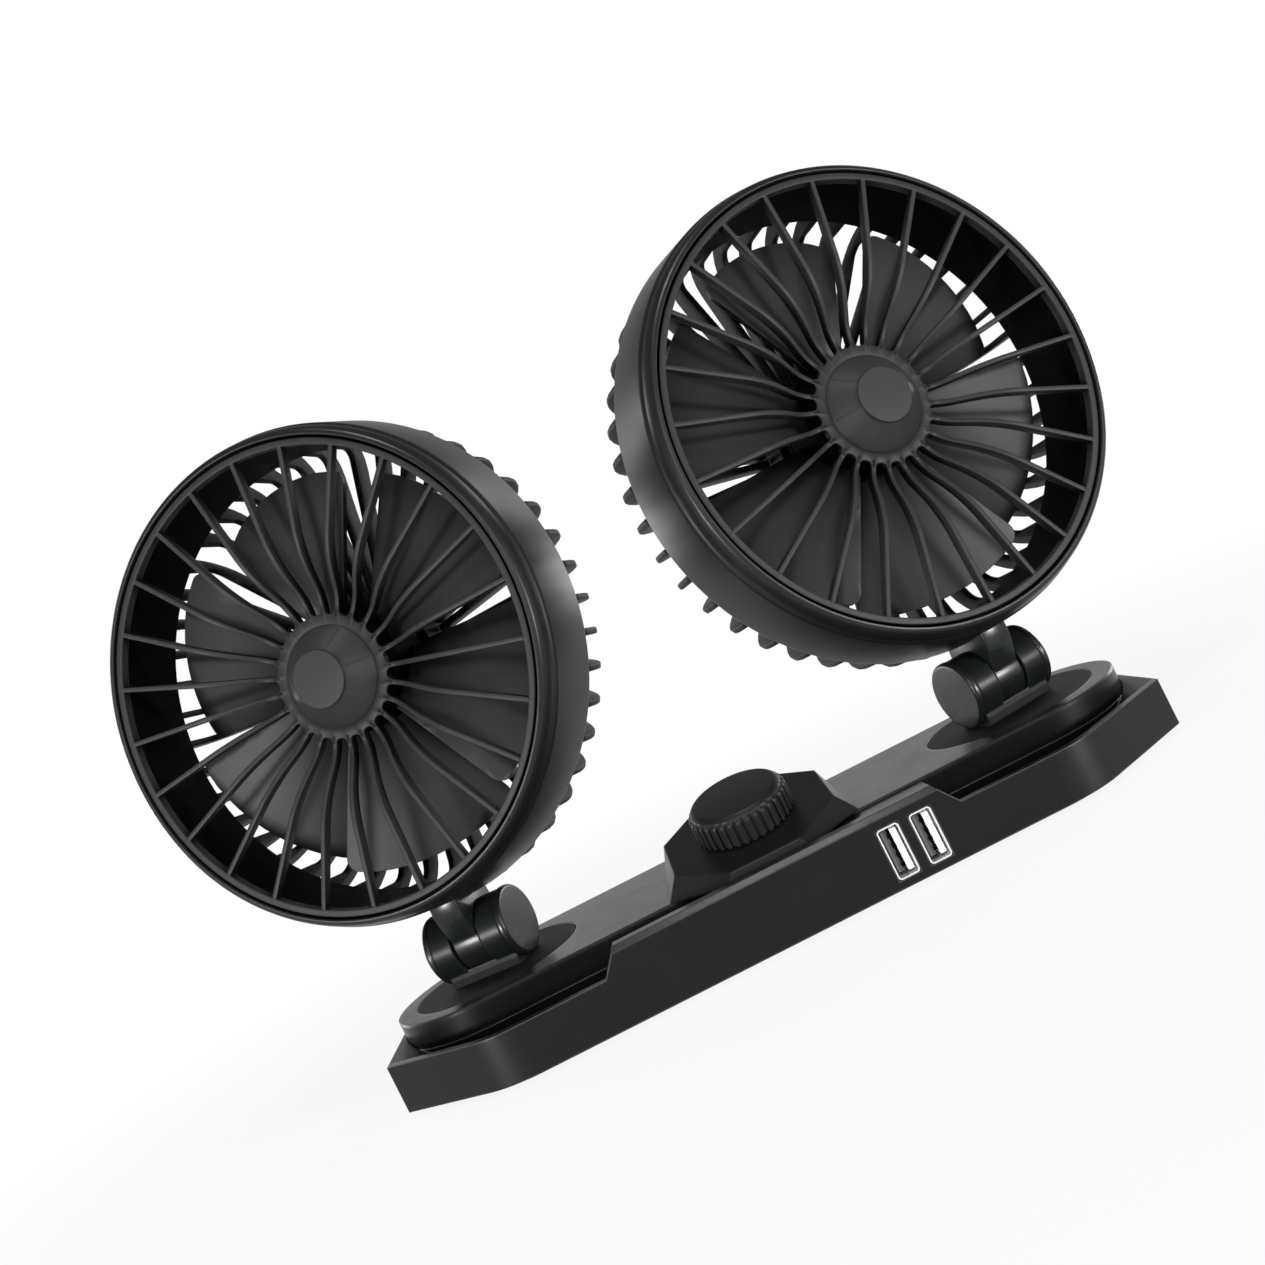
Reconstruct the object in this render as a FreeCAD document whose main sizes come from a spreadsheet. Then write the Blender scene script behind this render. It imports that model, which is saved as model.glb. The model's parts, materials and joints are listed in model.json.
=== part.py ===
import FreeCAD, Part
import math
import os

import Sketcher

# A table-top fan with two heads on one slim base, front towards -Y, standing on Z = 0.
# The left half is modelled; each right-hand piece is its mirror image.

SIZES = {
    # Base
    "axis_spacing": 158.0,  # between the two swivel axes
    "end_margin": 1.0,  # base beyond the platform's ends
    "corner_in": 31.0,  # end corners beyond the ends of the front edge
    "corner_back": 22.5,  # from the front face back to the end corners
    "corner_round": 22.0,  # radius between the front face and the slanted ends
    "front_to_axis": 52.0,  # from the front face to the swivel axes
    "back_margin": 3.0,  # base wall behind the platform
    "wall": 2.4,  # base walls
    "rim_height": 14.2,  # top of the tray rim
    "trough_floor": 5.6,  # height of the tray floor
    "trough_run": 24.0,  # length over which the tray floor sweeps up
    "trough_sweep": 45.0,  # radius of the sweep
    "bump_proud": 1.6,  # raised front wall above the platform
    "bump_top": 42.5,  # half width of the raised wall at its top
    "bump_slant": 5.0,  # half width that it gains down to the rim
    "bump_depth": 5.0,  # thickness of the raised wall
    "bump_edge": 1.4,  # bevel along the raised wall's front edge
    "bay_half": 44.0,  # far side of the electronics bay from the middle
    "bay_side": 8.0,  # near side of the bay from the inner socket's middle
    "bay_room": 0.825,  # bay above the sockets
    "bay_skin": 0.825,  # roof of the bay
    "bay_drop": 0.6,  # roof of the bay below the platform's top
    "seat_height": 12.0,  # ledge that carries the platform
    "seat_ledge": 2.5,  # width of that ledge
    "plate_thickness": 2.0,  # bottom plate
    "plate_play": 0.2,  # round the bottom plate
    "pad_thickness": 1.5,  # grip pad
    "pad_inset": 2.5,  # grip pad inside the bottom plate's edge
    "seat_play": 0.15,  # round the platform
    # Platform
    "beam_edge": 5.7,  # platform beyond the discs' wells
    "beam_skin": 2.2,  # top plate of the platform
    "beam_wall": 2.0,  # side walls of the platform
    "disc_radius": 24.0,  # swivel discs
    "disc_thickness": 1.6,  # swivel discs
    "disc_gap": 0.3,  # round the swivel discs
    "disc_lift": 0.1,  # running gap under a disc and over its washer
    "well_floor": 2.0,  # plate under a disc
    "well_wall": 2.7,  # thick spot under a disc, beyond its well
    "spigot_radius": 9.0,  # swivel spigots
    "running_play": 0.05,  # radial play of turning fits
    "washer_lip": 4.0,  # retaining washers beyond the spigots
    "washer_thickness": 1.6,  # retaining washers
    "thread_cover": 1.8,  # left above the retaining screw's hole
    # Fasteners
    "screw_radius": 1.5,  # screw shanks
    "screw_head": 2.8,  # screw heads
    "screw_head_height": 1.2,  # screw heads
    "screw_play": 0.05,  # radial play of screws in their holes
    "screw_spare": 0.2,  # hole beyond a screw's end
    "boss_wall": 1.85,  # screw bosses round their holes
    "boss_spread": 50.0,  # bosses from the middle of the base
    "boss_inset": 5.0,  # bosses from the outside of the platform
    "screw_grip": 3.6,  # screw in the platform's boss
    # Controls
    "panel_half": 22.5,  # half width of the eight-sided panel
    "panel_lean": 15.0,  # panel leans towards the user, degrees
    "panel_lift": 1.377,  # panel's front edge above the raised wall
    "panel_setback": 0.467,  # panel's front edge behind the housing's foot
    "panel_skin": 2.0,  # thickness of the panel
    "housing_flare": 4.5,  # half width that the housing gains down to its foot
    "housing_gap": 2.8,  # between the housing and the raised front wall
    "housing_run": 28.0,  # housing's foot behind the panel's middle
    "control_radius": 6.5,  # rotary control
    "control_length": 9.0,  # rotary control
    "control_play": 0.7,  # round the rotary control
    "bush_radius": 3.5,  # rotary control's neck
    "bush_proud": 1.2,  # neck above the panel
    "shaft_radius": 2.5,  # knob shaft
    "shaft_depth": 5.75,  # knob shaft inside the control
    "shaft_spare": 0.25,  # room beyond the knob shaft's ends
    "knob_radius": 12.8,  # knob between its ridges
    "knob_height": 8.2,  # knob
    "knob_gap": 0.5,  # between knob and panel
    "knob_crown": 1.0,  # bevel round the knob's top
    "knob_hollow": 5.0,  # radius of the hollow under the knob
    "knob_hollow_depth": 2.4,  # hollow under the knob
    "knob_skin": 2.0,  # knob above its shaft
    "ridge_width": 1.3,  # knob ridges
    "ridge_height": 0.8,  # knob ridges stand out
    "ridge_count": 36,  # knob ridges
    # Sockets
    "usb_height": 13.1,  # socket shell, standing upright
    "usb_width": 5.7,  # socket shell
    "usb_depth": 14.0,  # socket shell
    "usb_skin": 0.5,  # socket shell wall
    "usb_round": 0.9,  # socket shell corners
    "usb_lift": 0.15,  # sockets above the bottom plate
    "usb_near": 28.6,  # middle of the inner socket
    "usb_pitch": 8.6,  # between the two sockets
    "usb_play": 0.1,  # round the sockets in the front wall
    "tongue_width": 1.9,  # socket tongue
    "tongue_length": 9.0,  # socket tongue
    "tongue_root": 4.0,  # block behind the tongue
    "tongue_gap": 0.65,  # above and below the tongue
    "tongue_side": 0.25,  # between the tongue and its shell
    "contact_width": 1.0,  # contact strips
    "contact_pitch": 2.5,  # between contact strips
    "contact_thickness": 0.25,  # contact strips
    "contact_length": 7.0,  # contact strips
    "board_width": 18.0,  # circuit board
    "board_clear": 0.7,  # circuit board above the bottom plate
    "board_thickness": 1.6,  # circuit board
    "inlet_clear": 0.3,  # inlet ring's flange above the bottom plate
    "inlet_bore": 2.0,  # cable inlet bore radius
    "inlet_wall": 1.0,  # inlet ring in the wall
    "inlet_rim": 1.4,  # inlet ring's flanges beyond the hole
    "inlet_lip": 1.2,  # thickness of the inlet ring's flanges
    "inlet_play": 0.1,  # round the inlet ring
    # Hinge
    "head_yaw": 20.0,  # heads turned outwards, degrees
    "head_tilt": 5.0,  # heads tilted up, degrees
    "cap_radius": 9.9,  # hinge end caps
    "cap_thickness": 2.2,  # hinge end caps
    "cap_bevel": 0.8,  # bevel round the caps
    "cap_clear": 0.3,  # caps above the swivel disc
    "cap_spigot": 0.6,  # cap spigot in the ear
    "cap_lip": 0.3,  # caps beyond the ears
    "ear_width": 6.2,  # hinge ears
    "ear_waist": 3.0,  # ears' feet and the block between them, under the ears' radius
    "pocket_play": 0.6,  # round bolt head and nut in the ears
    "pocket_spare": 0.2,  # between bolt head or nut and the cap's spigot
    "knuckle_drop": 0.8,  # knuckle's radius under the ears' radius
    "knuckle_width": 8.6,  # knuckle between the ears
    "knuckle_play": 0.05,  # between knuckle and friction washers
    "friction_washer": 0.45,  # friction washers
    "friction_drop": 1.3,  # friction washers' radius under the knuckle's
    "saddle_drop": 5.5,  # top of the block between the ears, below the hinge axis
    "saddle_gap": 0.4,  # between that block and the knuckle
    "pin_radius": 2.5,  # hinge bolt
    "pin_lip": 1.9,  # hinge bolt head and nut beyond the bolt
    "pin_head_height": 2.4,  # hinge bolt head and nut
    # Head
    "neck_length": 11.2,  # from hinge axis to shroud
    "front_reach": 25.0,  # front face before the hinge axis
    "ring_radius": 67.0,  # front ring
    "ring_bevel": 3.0,  # depth of the front ring's bevel
    "ring_chamfer": 1.6,  # width of the front ring's bevel
    "ring_flat": 1.2,  # flat face of the front ring
    "ring_band": 6.0,  # depth of the front ring
    "shroud_flare": 2.2,  # shroud beyond the front ring
    "shroud_run": 6.5,  # length over which the shroud flares
    "shroud_round": 12.0,  # radius at the end of the flare
    "shroud_depth": 24.5,  # whole shroud
    "shroud_edge": 1.6,  # bevel at the shroud's back edge
    "shroud_wall": 2.2,  # shroud
    "neck_front": 12.5,  # neck before the hinge axis, at the shroud
    "neck_back": 6.0,  # neck behind the hinge axis, at the shroud
    "neck_waist": 0.1,  # neck just above the knuckle, under the knuckle's radius
    "neck_spring": 1.0,  # where the neck leaves the knuckle
    "neck_shoulder": 9.0,  # where the neck is widest
    "neck_screw_spread": 2.3,  # neck screws from the middle of the neck
    "neck_screw_ahead": 8.0,  # neck screws before the hinge axis
    "neck_screw_end": 6.5,  # neck screws' ends above the hinge axis
    "neck_screw_head": 2.1,  # neck screws' heads
    "neck_screw_seat": 1.9,  # shroud wall under the neck screws' heads
    # Grille
    "grille_front": 0.5,  # grille behind the ring's face
    "grille_gap": 0.6,  # between grille and front ring
    "grille_rim": 2.0,  # grille rim
    "grille_rim_depth": 2.8,  # grille rim
    "spoke_count": 25,  # grille spokes
    "spoke_width": 1.4,  # grille spokes
    "spoke_depth": 3.6,  # grille spokes, front to back
    "spoke_dip": 15.4,  # where the spokes dip, from the hub
    "spoke_fall": 1.6,  # fall of the spokes from rim to dip
    "spoke_bend": 14.0,  # radius of the spokes' bend
    "hub_radius": 16.6,  # grille hub
    "hub_wall": 2.8,  # grille hub round the badge
    "hub_front": 9.4,  # hub behind the ring's face
    "hub_depth": 3.0,  # grille hub
    "badge_play": 0.1,  # round the badge
    "badge_button": 7.9,  # flat face of the badge
    "badge_rise": 6.8,  # badge before the hub
    "badge_rim": 0.8,  # straight rim of the badge
    # Guard
    "duct_gap": 0.2,  # between air duct and front ring
    "duct_wall": 2.0,  # air duct
    "duct_front": 3.5,  # front of the air duct
    "flange_thickness": 2.2,  # flange that closes the shroud's back
    "flange_play": 0.2,  # between flange and shroud
    "fin_count": 45,  # guard fins
    "fin_thickness": 1.5,  # guard fins
    "fin_inset": 0.4,  # guard fins inside the shroud's outline
    "fin_gap": 0.4,  # fins behind the shroud's edge
    "fin_bulge": 18.0,  # outer corner of the fins behind the shroud
    "fin_round": 13.0,  # radius of that corner
    "fin_height": 6.4,  # depth of a fin at the back
    "fin_inner_round": 3.0,  # radius of a fin's inner corner
    "cup_radius": 19.0,  # motor cup
    "cup_wall": 2.6,  # motor cup
    "cup_behind": 8.5,  # motor cup's mouth behind the shroud
    "cup_length": 17.0,  # motor cup
    "cup_floor": 2.0,  # motor cup's back plate
    # Motor
    "motor_play": 0.1,  # round the motor
    "motor_skin": 1.0,  # motor can
    "motor_bush": 3.0,  # motor bushes
    "motor_bush_length": 3.0,  # motor bushes
    "axle_radius": 1.5,  # motor shaft
    "axle_spare": 0.5,  # motor shaft short of the can's back
    "rotor_radius": 11.0,  # motor rotor
    "rotor_length": 6.0,  # motor rotor
    "fan_hub": 17.0,  # impeller hub
    "fan_clear": 2.2,  # impeller hub behind the grille's hub
    "fan_gap": 3.0,  # between impeller hub and motor cup
    "fan_round": 2.5,  # front edge of the impeller hub
    "fan_skin": 2.0,  # impeller hub's wall
    "fan_boss": 4.5,  # impeller's boss on the motor shaft
    "blade_count": 6,  # impeller blades
    "blade_gap": 10.0,  # between blade tips and air duct
    "blade_sink": 1.2,  # blades inside the hub's wall
    "blade_root_half": 8.0,  # half width of a blade at its root
    "blade_tip_half": 27.0,  # half width of a blade at its tip
    "blade_root_rise": 5.5,  # half depth of a blade at its root
    "blade_tip_rise": 6.0,  # half depth of a blade at its tip
    "blade_thickness": 1.6,  # impeller blades
}

doc = FreeCAD.newDocument("dual_head_fan")
sheet = doc.addObject("Spreadsheet::Sheet", "dims")
for row, (alias, worth) in enumerate(SIZES.items(), 1):
    sheet.set("A%d" % row, alias)
    sheet.set("B%d" % row, str(worth))
    sheet.setAlias("B%d" % row, alias)
doc.recompute()


class Size:
    """A size: what it is worth now, and the formula that ties it to the sheet."""

    def __init__(self, worth, formula):
        self.worth = worth
        self.formula = formula

    def __add__(self, other):
        other = as_size(other)
        return Size(self.worth + other.worth, "(%s + %s)" % (self.formula, other.formula))

    def __sub__(self, other):
        other = as_size(other)
        return Size(self.worth - other.worth, "(%s - %s)" % (self.formula, other.formula))

    def __mul__(self, other):
        other = as_size(other)
        return Size(self.worth * other.worth, "(%s * %s)" % (self.formula, other.formula))

    def __truediv__(self, other):
        other = as_size(other)
        return Size(self.worth / other.worth, "(%s / %s)" % (self.formula, other.formula))

    def __radd__(self, other):
        return as_size(other) + self

    def __rsub__(self, other):
        return as_size(other) - self

    def __rmul__(self, other):
        return as_size(other) * self

    def __neg__(self):
        return as_size(0) - self


class Cells:
    """Gives each cell of the sheet as a Size, by its alias."""

    def __getattr__(self, alias):
        return Size(float(sheet.get(alias)), "dims." + alias)


def as_size(value):
    """A plain number as a Size."""
    return value if isinstance(value, Size) else Size(float(value), "(%r)" % float(value))


def sine(angle):
    return Size(math.sin(math.radians(angle.worth)), "sin(%s)" % angle.formula)


def cosine(angle):
    return Size(math.cos(math.radians(angle.worth)), "cos(%s)" % angle.formula)


def tangent(angle):
    return Size(math.tan(math.radians(angle.worth)), "tan(%s)" % angle.formula)


def slope(rise, run):
    """The angle of a slope, in degrees."""
    angle = math.degrees(math.atan2(rise.worth, run.worth))
    return Size(angle, "(atan(%s / %s) / 1 deg)" % (rise.formula, run.formula))


dim = Cells()
EIGHTH = math.tan(math.radians(22.5))

# Sizes and places that several pieces share.
screw_bore = dim.screw_radius + dim.screw_play
boss_radius = screw_bore + dim.boss_wall
disc_well = dim.disc_radius + dim.disc_gap
beam_radius = disc_well + dim.beam_edge
axis_x = dim.axis_spacing / 2
half_length = axis_x + beam_radius + dim.end_margin
base_back = (dim.front_to_axis + beam_radius + dim.back_margin) / 2
base_front = -base_back
axis_y = base_front + dim.front_to_axis
plate_top = dim.pad_thickness + dim.plate_thickness
below = -plate_top

usb_low = plate_top + dim.usb_lift
usb_middle = usb_low + dim.usb_height / 2
bay_near = dim.usb_near - dim.bay_side
bay_ceiling = usb_low + dim.usb_height + dim.bay_room
bay_roof = bay_ceiling + dim.bay_skin
beam_top = bay_roof + dim.bay_drop
bump_height = beam_top + dim.bump_proud
bump_foot = dim.bump_top + dim.bump_slant
well_bottom = beam_top - dim.disc_thickness - dim.disc_lift

housing_front = base_front + dim.bump_depth + dim.housing_gap
panel_y = housing_front + dim.panel_setback + dim.panel_half * cosine(dim.panel_lean)
panel_height = bump_height + dim.panel_lift + dim.panel_half * sine(dim.panel_lean)
control_room = dim.control_radius + dim.control_play
usb_back = base_front + dim.usb_depth
inlet_neck = dim.inlet_bore + dim.inlet_wall
inlet_flange = inlet_neck + dim.inlet_rim
inlet_height = plate_top + dim.inlet_clear + inlet_flange

hinge_height = beam_top + dim.cap_radius + dim.cap_clear
above = hinge_height * 2
ear_radius = dim.cap_radius - dim.cap_lip
ear_inside = dim.knuckle_width / 2 + dim.friction_washer + dim.knuckle_play
ear_outside = ear_inside + dim.ear_width
knuckle_radius = ear_radius - dim.knuckle_drop
pin_bore = dim.pin_radius + dim.running_play
pin_head = dim.pin_radius + dim.pin_lip
ear_pocket = pin_head + dim.pocket_play
pocket_depth = dim.pin_head_height + dim.pocket_spare + dim.cap_spigot
pocket_floor = ear_outside - pocket_depth
disc_top = beam_top - hinge_height
disc_under = disc_top - dim.disc_thickness
spigot_end = well_bottom - dim.well_floor - dim.disc_lift - hinge_height
thread_end = -knuckle_radius - dim.saddle_gap - dim.thread_cover

ring_face = dim.ring_radius - dim.ring_chamfer
ring_mouth = ring_face - dim.ring_flat
shroud_radius = dim.ring_radius + dim.shroud_flare
shroud_swell = dim.ring_band + dim.shroud_run
flange_radius = shroud_radius - dim.shroud_edge - dim.shroud_wall / 2
head_rise = dim.neck_length + shroud_radius
neck_seat = shroud_radius - dim.neck_screw_seat
neck_screw_depth = dim.front_reach - dim.neck_screw_ahead
grille_outer = ring_mouth - dim.grille_gap
grille_inner = grille_outer - dim.grille_rim
hub_bore = dim.hub_radius - dim.hub_wall
hub_back = dim.hub_front + dim.hub_depth
duct_outer = ring_mouth - dim.duct_gap
duct_inner = duct_outer - dim.duct_wall
fin_radius = shroud_radius - dim.fin_inset
fin_corner = dim.shroud_depth + dim.fin_bulge
motor_front = dim.shroud_depth + dim.cup_behind
cup_back = motor_front + dim.cup_length
motor_back = cup_back - dim.cup_floor
motor_radius = dim.cup_radius - dim.cup_wall - dim.motor_play
axle_bore = dim.axle_radius + dim.screw_play / 2
fan_front = hub_back + dim.fan_clear
fan_back = motor_front - dim.fan_gap
blade_radius = duct_inner - dim.blade_gap


def bind(item, name, value):
    """Ties one property of an item to the sheet."""
    item.setExpression(name, as_size(value).formula)


def placement(*numbers):
    """The formula of a placement: a point, then turns about Z, Y and X in degrees."""
    point = "create(<<vector>>; %s; %s; %s)" % tuple(as_size(v).formula for v in numbers[:3])
    turns = "create(<<rotation>>; %s; %s; %s)" % tuple(as_size(v).formula for v in numbers[3:])
    return "create(<<placement>>; %s; %s)" % (point, turns)


def put(item, base, rotation=(0, 0, 0)):
    """Ties an item's place: a point, then turns about Z, Y and X in degrees."""
    item.setExpression("Placement", placement(*base, *rotation))
    return item


ALONG = {"Z": (0, 0, 0), "X": (0, 90, 0), "Y": (0, 0, -90)}


def cylinder(radius, length, base=(0, 0, 0), along="Z", lean=0):
    """A round bar that starts at base."""
    item = doc.addObject("Part::Cylinder", "bar")
    bind(item, "Radius", radius)
    bind(item, "Height", length)
    return put(item, base, (0, 0, lean) if along == "lean" else ALONG[along])


def cone(bottom, top, length, base=(0, 0, 0), along="Z"):
    """A round taper that starts at base."""
    item = doc.addObject("Part::Cone", "taper")
    bind(item, "Radius1", bottom)
    bind(item, "Radius2", top)
    bind(item, "Height", length)
    return put(item, base, ALONG[along])


def box(low, high):
    """A block between two corners."""
    item = doc.addObject("Part::Box", "block")
    for name, start, end in zip(("Length", "Width", "Height"), low, high):
        bind(item, name, as_size(end) - start)
    return put(item, low)


def fuse(*items):
    """One solid from several that overlap."""
    item = doc.addObject("Part::MultiFuse", "joined")
    item.Shapes = list(items)
    item.Refine = True
    return item


def cut(base, *tools):
    """A solid less each of the tools, in turn."""
    for tool in tools:
        item = doc.addObject("Part::Cut", "cut")
        item.Base = base
        item.Tool = tool
        base = item
    return base


def common(base, tool):
    """What two solids share."""
    item = doc.addObject("Part::Common", "shared")
    item.Base = base
    item.Tool = tool
    return item


def group(*items):
    """Separate solids that share one node."""
    item = doc.addObject("Part::Compound", "set")
    item.Links = list(items)
    return item


def new_body(name):
    return doc.addObject("PartDesign::Body", name)


def new_sketch(body, plane, lift=0, lean=0, base_y=0):
    """An empty sketch on one of a body's own planes, lifted off it and leaned about X."""
    sketch = body.newObject("Sketcher::SketchObject", body.Name + "_sketch")
    support = next(f for f in body.Origin.OriginFeatures if f.Role == plane)
    sketch.AttachmentSupport = [(support, "")]
    sketch.MapMode = "FlatFace"
    sketch.setExpression("AttachmentOffset", placement(0, base_y, lift, 0, 0, lean))
    return sketch


def outline(sketch, corners):
    """Draws a closed outline: each corner is (x, y), or (x, y, radius) where it is rounded."""
    sizes = [[as_size(v) for v in corner] for corner in corners]
    places = [FreeCAD.Vector(c[0].worth, c[1].worth, 0) for c in sizes]
    count = len(places)
    enter, leave, middles = [], [], []
    for i, (place, corner) in enumerate(zip(places, sizes)):
        back = (places[i - 1] - place).normalize()
        ahead = (places[(i + 1) % count] - place).normalize()
        if len(corner) < 3:
            enter.append(place)
            leave.append(place)
            middles.append(None)
            continue
        half = back.getAngle(ahead) / 2
        reach = corner[2].worth / math.tan(half)
        enter.append(place + back * reach)
        leave.append(place + ahead * reach)
        middles.append(place + (back + ahead).normalize() * (corner[2].worth / math.sin(half)))
    lines = [
        sketch.addGeometry(Part.LineSegment(leave[i], enter[(i + 1) % count])) for i in range(count)
    ]
    for i, corner in enumerate(sizes):
        before, after = lines[i - 1], lines[i]
        if middles[i] is None:
            sketch.addConstraint(Sketcher.Constraint("Coincident", before, 2, after, 1))
            pin_point(sketch, after, 1, corner)
            continue
        spokes = [enter[i] - middles[i], leave[i] - middles[i]]
        left_turn = spokes[0].cross(spokes[1]).z > 0
        first, last = spokes if left_turn else reversed(spokes)
        start = math.atan2(first.y, first.x)
        end = math.atan2(last.y, last.x)
        circle = Part.Circle(middles[i], FreeCAD.Vector(0, 0, 1), corner[2].worth)
        if end < start:
            end += 2 * math.pi
        arc = sketch.addGeometry(Part.ArcOfCircle(circle, start, end))
        ends = (1, 2) if left_turn else (2, 1)
        sketch.addConstraint(Sketcher.Constraint("Tangent", before, 2, arc, ends[0]))
        sketch.addConstraint(Sketcher.Constraint("Tangent", arc, ends[1], after, 1))
        radius = sketch.addConstraint(Sketcher.Constraint("Radius", arc, corner[2].worth))
        bind(sketch, "Constraints[%d]" % radius, corner[2])
        point = sketch.addGeometry(Part.Point(places[i]), True)
        pin_point(sketch, point, 1, corner)
        sketch.addConstraint(Sketcher.Constraint("PointOnObject", point, 1, before))
        sketch.addConstraint(Sketcher.Constraint("PointOnObject", point, 1, after))
    return sketch


def pin_point(sketch, shape, end, corner):
    """Ties a point of a sketch to its two sizes."""
    for kind, value in zip(("DistanceX", "DistanceY"), corner):
        index = sketch.addConstraint(Sketcher.Constraint(kind, shape, end, value.worth))
        bind(sketch, "Constraints[%d]" % index, value)


def pad(body, sketch, length, both_ways=False, reverse=False):
    """Thickens a sketch into a solid."""
    item = body.newObject("PartDesign::Pad", body.Name + "_pad")
    item.Profile = sketch
    bind(item, "Length", length)
    item.Midplane = both_ways
    item.Reversed = reverse
    doc.recompute()
    return item


def spin(body, corners):
    """A solid of revolution about Y: each corner is (radius, depth), or with a rounding."""
    sketch = outline(new_sketch(body, "XY_Plane"), corners)
    item = body.newObject("PartDesign::Revolution", body.Name + "_spin")
    item.Profile = sketch
    item.ReferenceAxis = (sketch, ["V_Axis"])
    item.Angle = 360
    doc.recompute()
    return item


def ring(inner, outer, start, end):
    """The section of a plain ring, for spin."""
    return [(inner, start), (outer, start), (outer, end), (inner, end)]


def repeat(body, feature, count, axis="Y_Axis"):
    """Repeats a feature evenly round one of the body's axes."""
    item = body.newObject("PartDesign::PolarPattern", body.Name + "_repeat")
    item.Originals = [feature]
    item.Axis = (next(f for f in body.Origin.OriginFeatures if f.Role == axis), [""])
    item.Angle = 360
    bind(item, "Occurrences", count)
    body.Tip = item
    doc.recompute()
    return item


def prism(corners, low, high):
    """A straight block over an outline in plan, from one height to another."""
    body = new_body("prism")
    sketch = outline(new_sketch(body, "XY_Plane", lift=low), corners)
    pad(body, sketch, as_size(high) - low)
    return body


def stadium(radius, low, high):
    """A long block with round ends about the two swivel axes."""
    length = as_size(high) - low
    ends = [cylinder(radius, length, (side * axis_x, axis_y, low)) for side in (-1, 1)]
    middle = box((-axis_x, axis_y - radius, low), (axis_x, axis_y + radius, high))
    return fuse(middle, *ends)


def base_plan(inset):
    """The base in plan, drawn in by inset all round: slanted front ends and round back ends."""
    slant = slope(dim.corner_back, dim.corner_in)
    front_in = inset * tangent(slant / 2)
    end_in = inset * tangent((90 - slant) / 2)
    side = half_length - inset
    back_round = beam_radius + dim.back_margin - inset
    right = [
        (half_length - dim.corner_in - front_in, base_front + inset, dim.corner_round - inset),
        (side, base_front + dim.corner_back + end_in),
        (side, base_back - inset, back_round),
    ]
    left = [(-x, y, *rest) for x, y, *rest in reversed(right)]
    return right + left


nodes = {}


def node(label, item):
    """Names a finished piece."""
    item.Label = label
    nodes[label] = item
    return item


# Base: tray, platform, bottom plate, grip pad and their screws.
def trough_plan():
    """The tray's hollow in plan: inside the front wall, and open at both ends."""
    slant = slope(dim.corner_back, dim.corner_in)
    front = base_front + dim.wall
    past = half_length + dim.wall
    end_in = dim.wall / cosine(slant) + dim.wall * tangent(slant)
    corner = half_length - dim.corner_in - dim.wall * tangent(slant / 2)
    right = [
        (corner, front, dim.corner_round - dim.wall),
        (past, base_front + dim.corner_back + end_in),
        (past, base_back),
    ]
    left = [(-x, y, *rest) for x, y, *rest in reversed(right)]
    return right + left


def trough(side, start):
    """One half of the tray's hollow, from start: a floor that sweeps up to the end of the base."""
    body = new_body("trough")
    sketch = new_sketch(body, "XZ_Plane")
    profile = [
        (start, above),
        (start, dim.trough_floor),
        (side * (half_length - dim.trough_run), dim.trough_floor, dim.trough_sweep),
        (side * half_length, dim.rim_height),
        (side * half_length, above),
    ]
    outline(sketch, profile)
    pad(body, sketch, base_back * 2, both_ways=True)
    within = common(body, prism(trough_plan(), 0, above))
    return cut(within, stadium(beam_radius, below, above + 1))


def boss_places():
    """Where the four base screws stand."""
    reach = beam_radius - dim.boss_inset
    return [(sx * dim.boss_spread, axis_y + sy * reach) for sx in (-1, 1) for sy in (-1, 1)]


def socket_places():
    """The middles of the two sockets along the front."""
    return {"inner": dim.usb_near, "outer": dim.usb_near + dim.usb_pitch}


def base_tray():
    block = prism(base_plan(as_size(0)), dim.pad_thickness, dim.rim_height)
    wall = new_body("raised_wall")
    face = new_sketch(wall, "XZ_Plane", lift=-base_front)
    outline(
        face,
        [
            (-bump_foot, dim.rim_height - dim.wall),
            (bump_foot, dim.rim_height - dim.wall),
            (bump_foot, dim.rim_height),
            (dim.bump_top, bump_height),
            (-dim.bump_top, bump_height),
            (-bump_foot, dim.rim_height),
        ],
    )
    pad(wall, face, dim.bump_depth, reverse=True)
    bay_back = axis_y - beam_radius + dim.seat_ledge
    bay = box((bay_near, base_front + dim.wall, dim.pad_thickness), (dim.bay_half, bay_back, bay_roof))
    bevel = prism_along_x(
        [
            (base_front, bump_height - dim.bump_edge),
            (base_front, bump_height + 1),
            (base_front + dim.bump_edge + 1, bump_height + 1),
        ],
        bump_foot + 1,
    )
    shell = cut(block, trough(-1, bay_near), trough(1, dim.bay_half))
    shell = cut(fuse(shell, wall, bay), bevel, stadium(beam_radius + dim.seat_play, dim.seat_height, above))
    shell = cut(shell, stadium(beam_radius - dim.seat_ledge, below, dim.seat_height + 1))
    room = box(
        (bay_near + dim.wall, base_front + dim.wall, below),
        (dim.bay_half - dim.wall, axis_y, bay_ceiling),
    )
    shell = cut(shell, room, prism(base_plan(dim.wall), below, plate_top))
    for middle in socket_places().values():
        half = dim.usb_width / 2 + dim.usb_play
        tall = dim.usb_height / 2 + dim.usb_play
        window = box(
            (middle - half, base_front - 1, usb_middle - tall),
            (middle + half, base_front + dim.wall + 1, usb_middle + tall),
        )
        shell = cut(shell, window)
    inlet = cylinder(inlet_neck + dim.inlet_play, base_back, (0, axis_y, inlet_height), "Y")
    shell = cut(shell, inlet)
    bosses = [
        cylinder(boss_radius, dim.seat_height - plate_top, (x, y, plate_top)) for x, y in boss_places()
    ]
    holes = [cylinder(screw_bore, dim.seat_height, (x, y, dim.pad_thickness)) for x, y in boss_places()]
    return cut(fuse(shell, *bosses), *holes)


def prism_along_x(corners, half):
    """A straight bar along X over an outline in Y and Z."""
    body = new_body("bar")
    pad(body, outline(new_sketch(body, "YZ_Plane"), corners), half * 2, both_ways=True)
    return body


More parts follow.
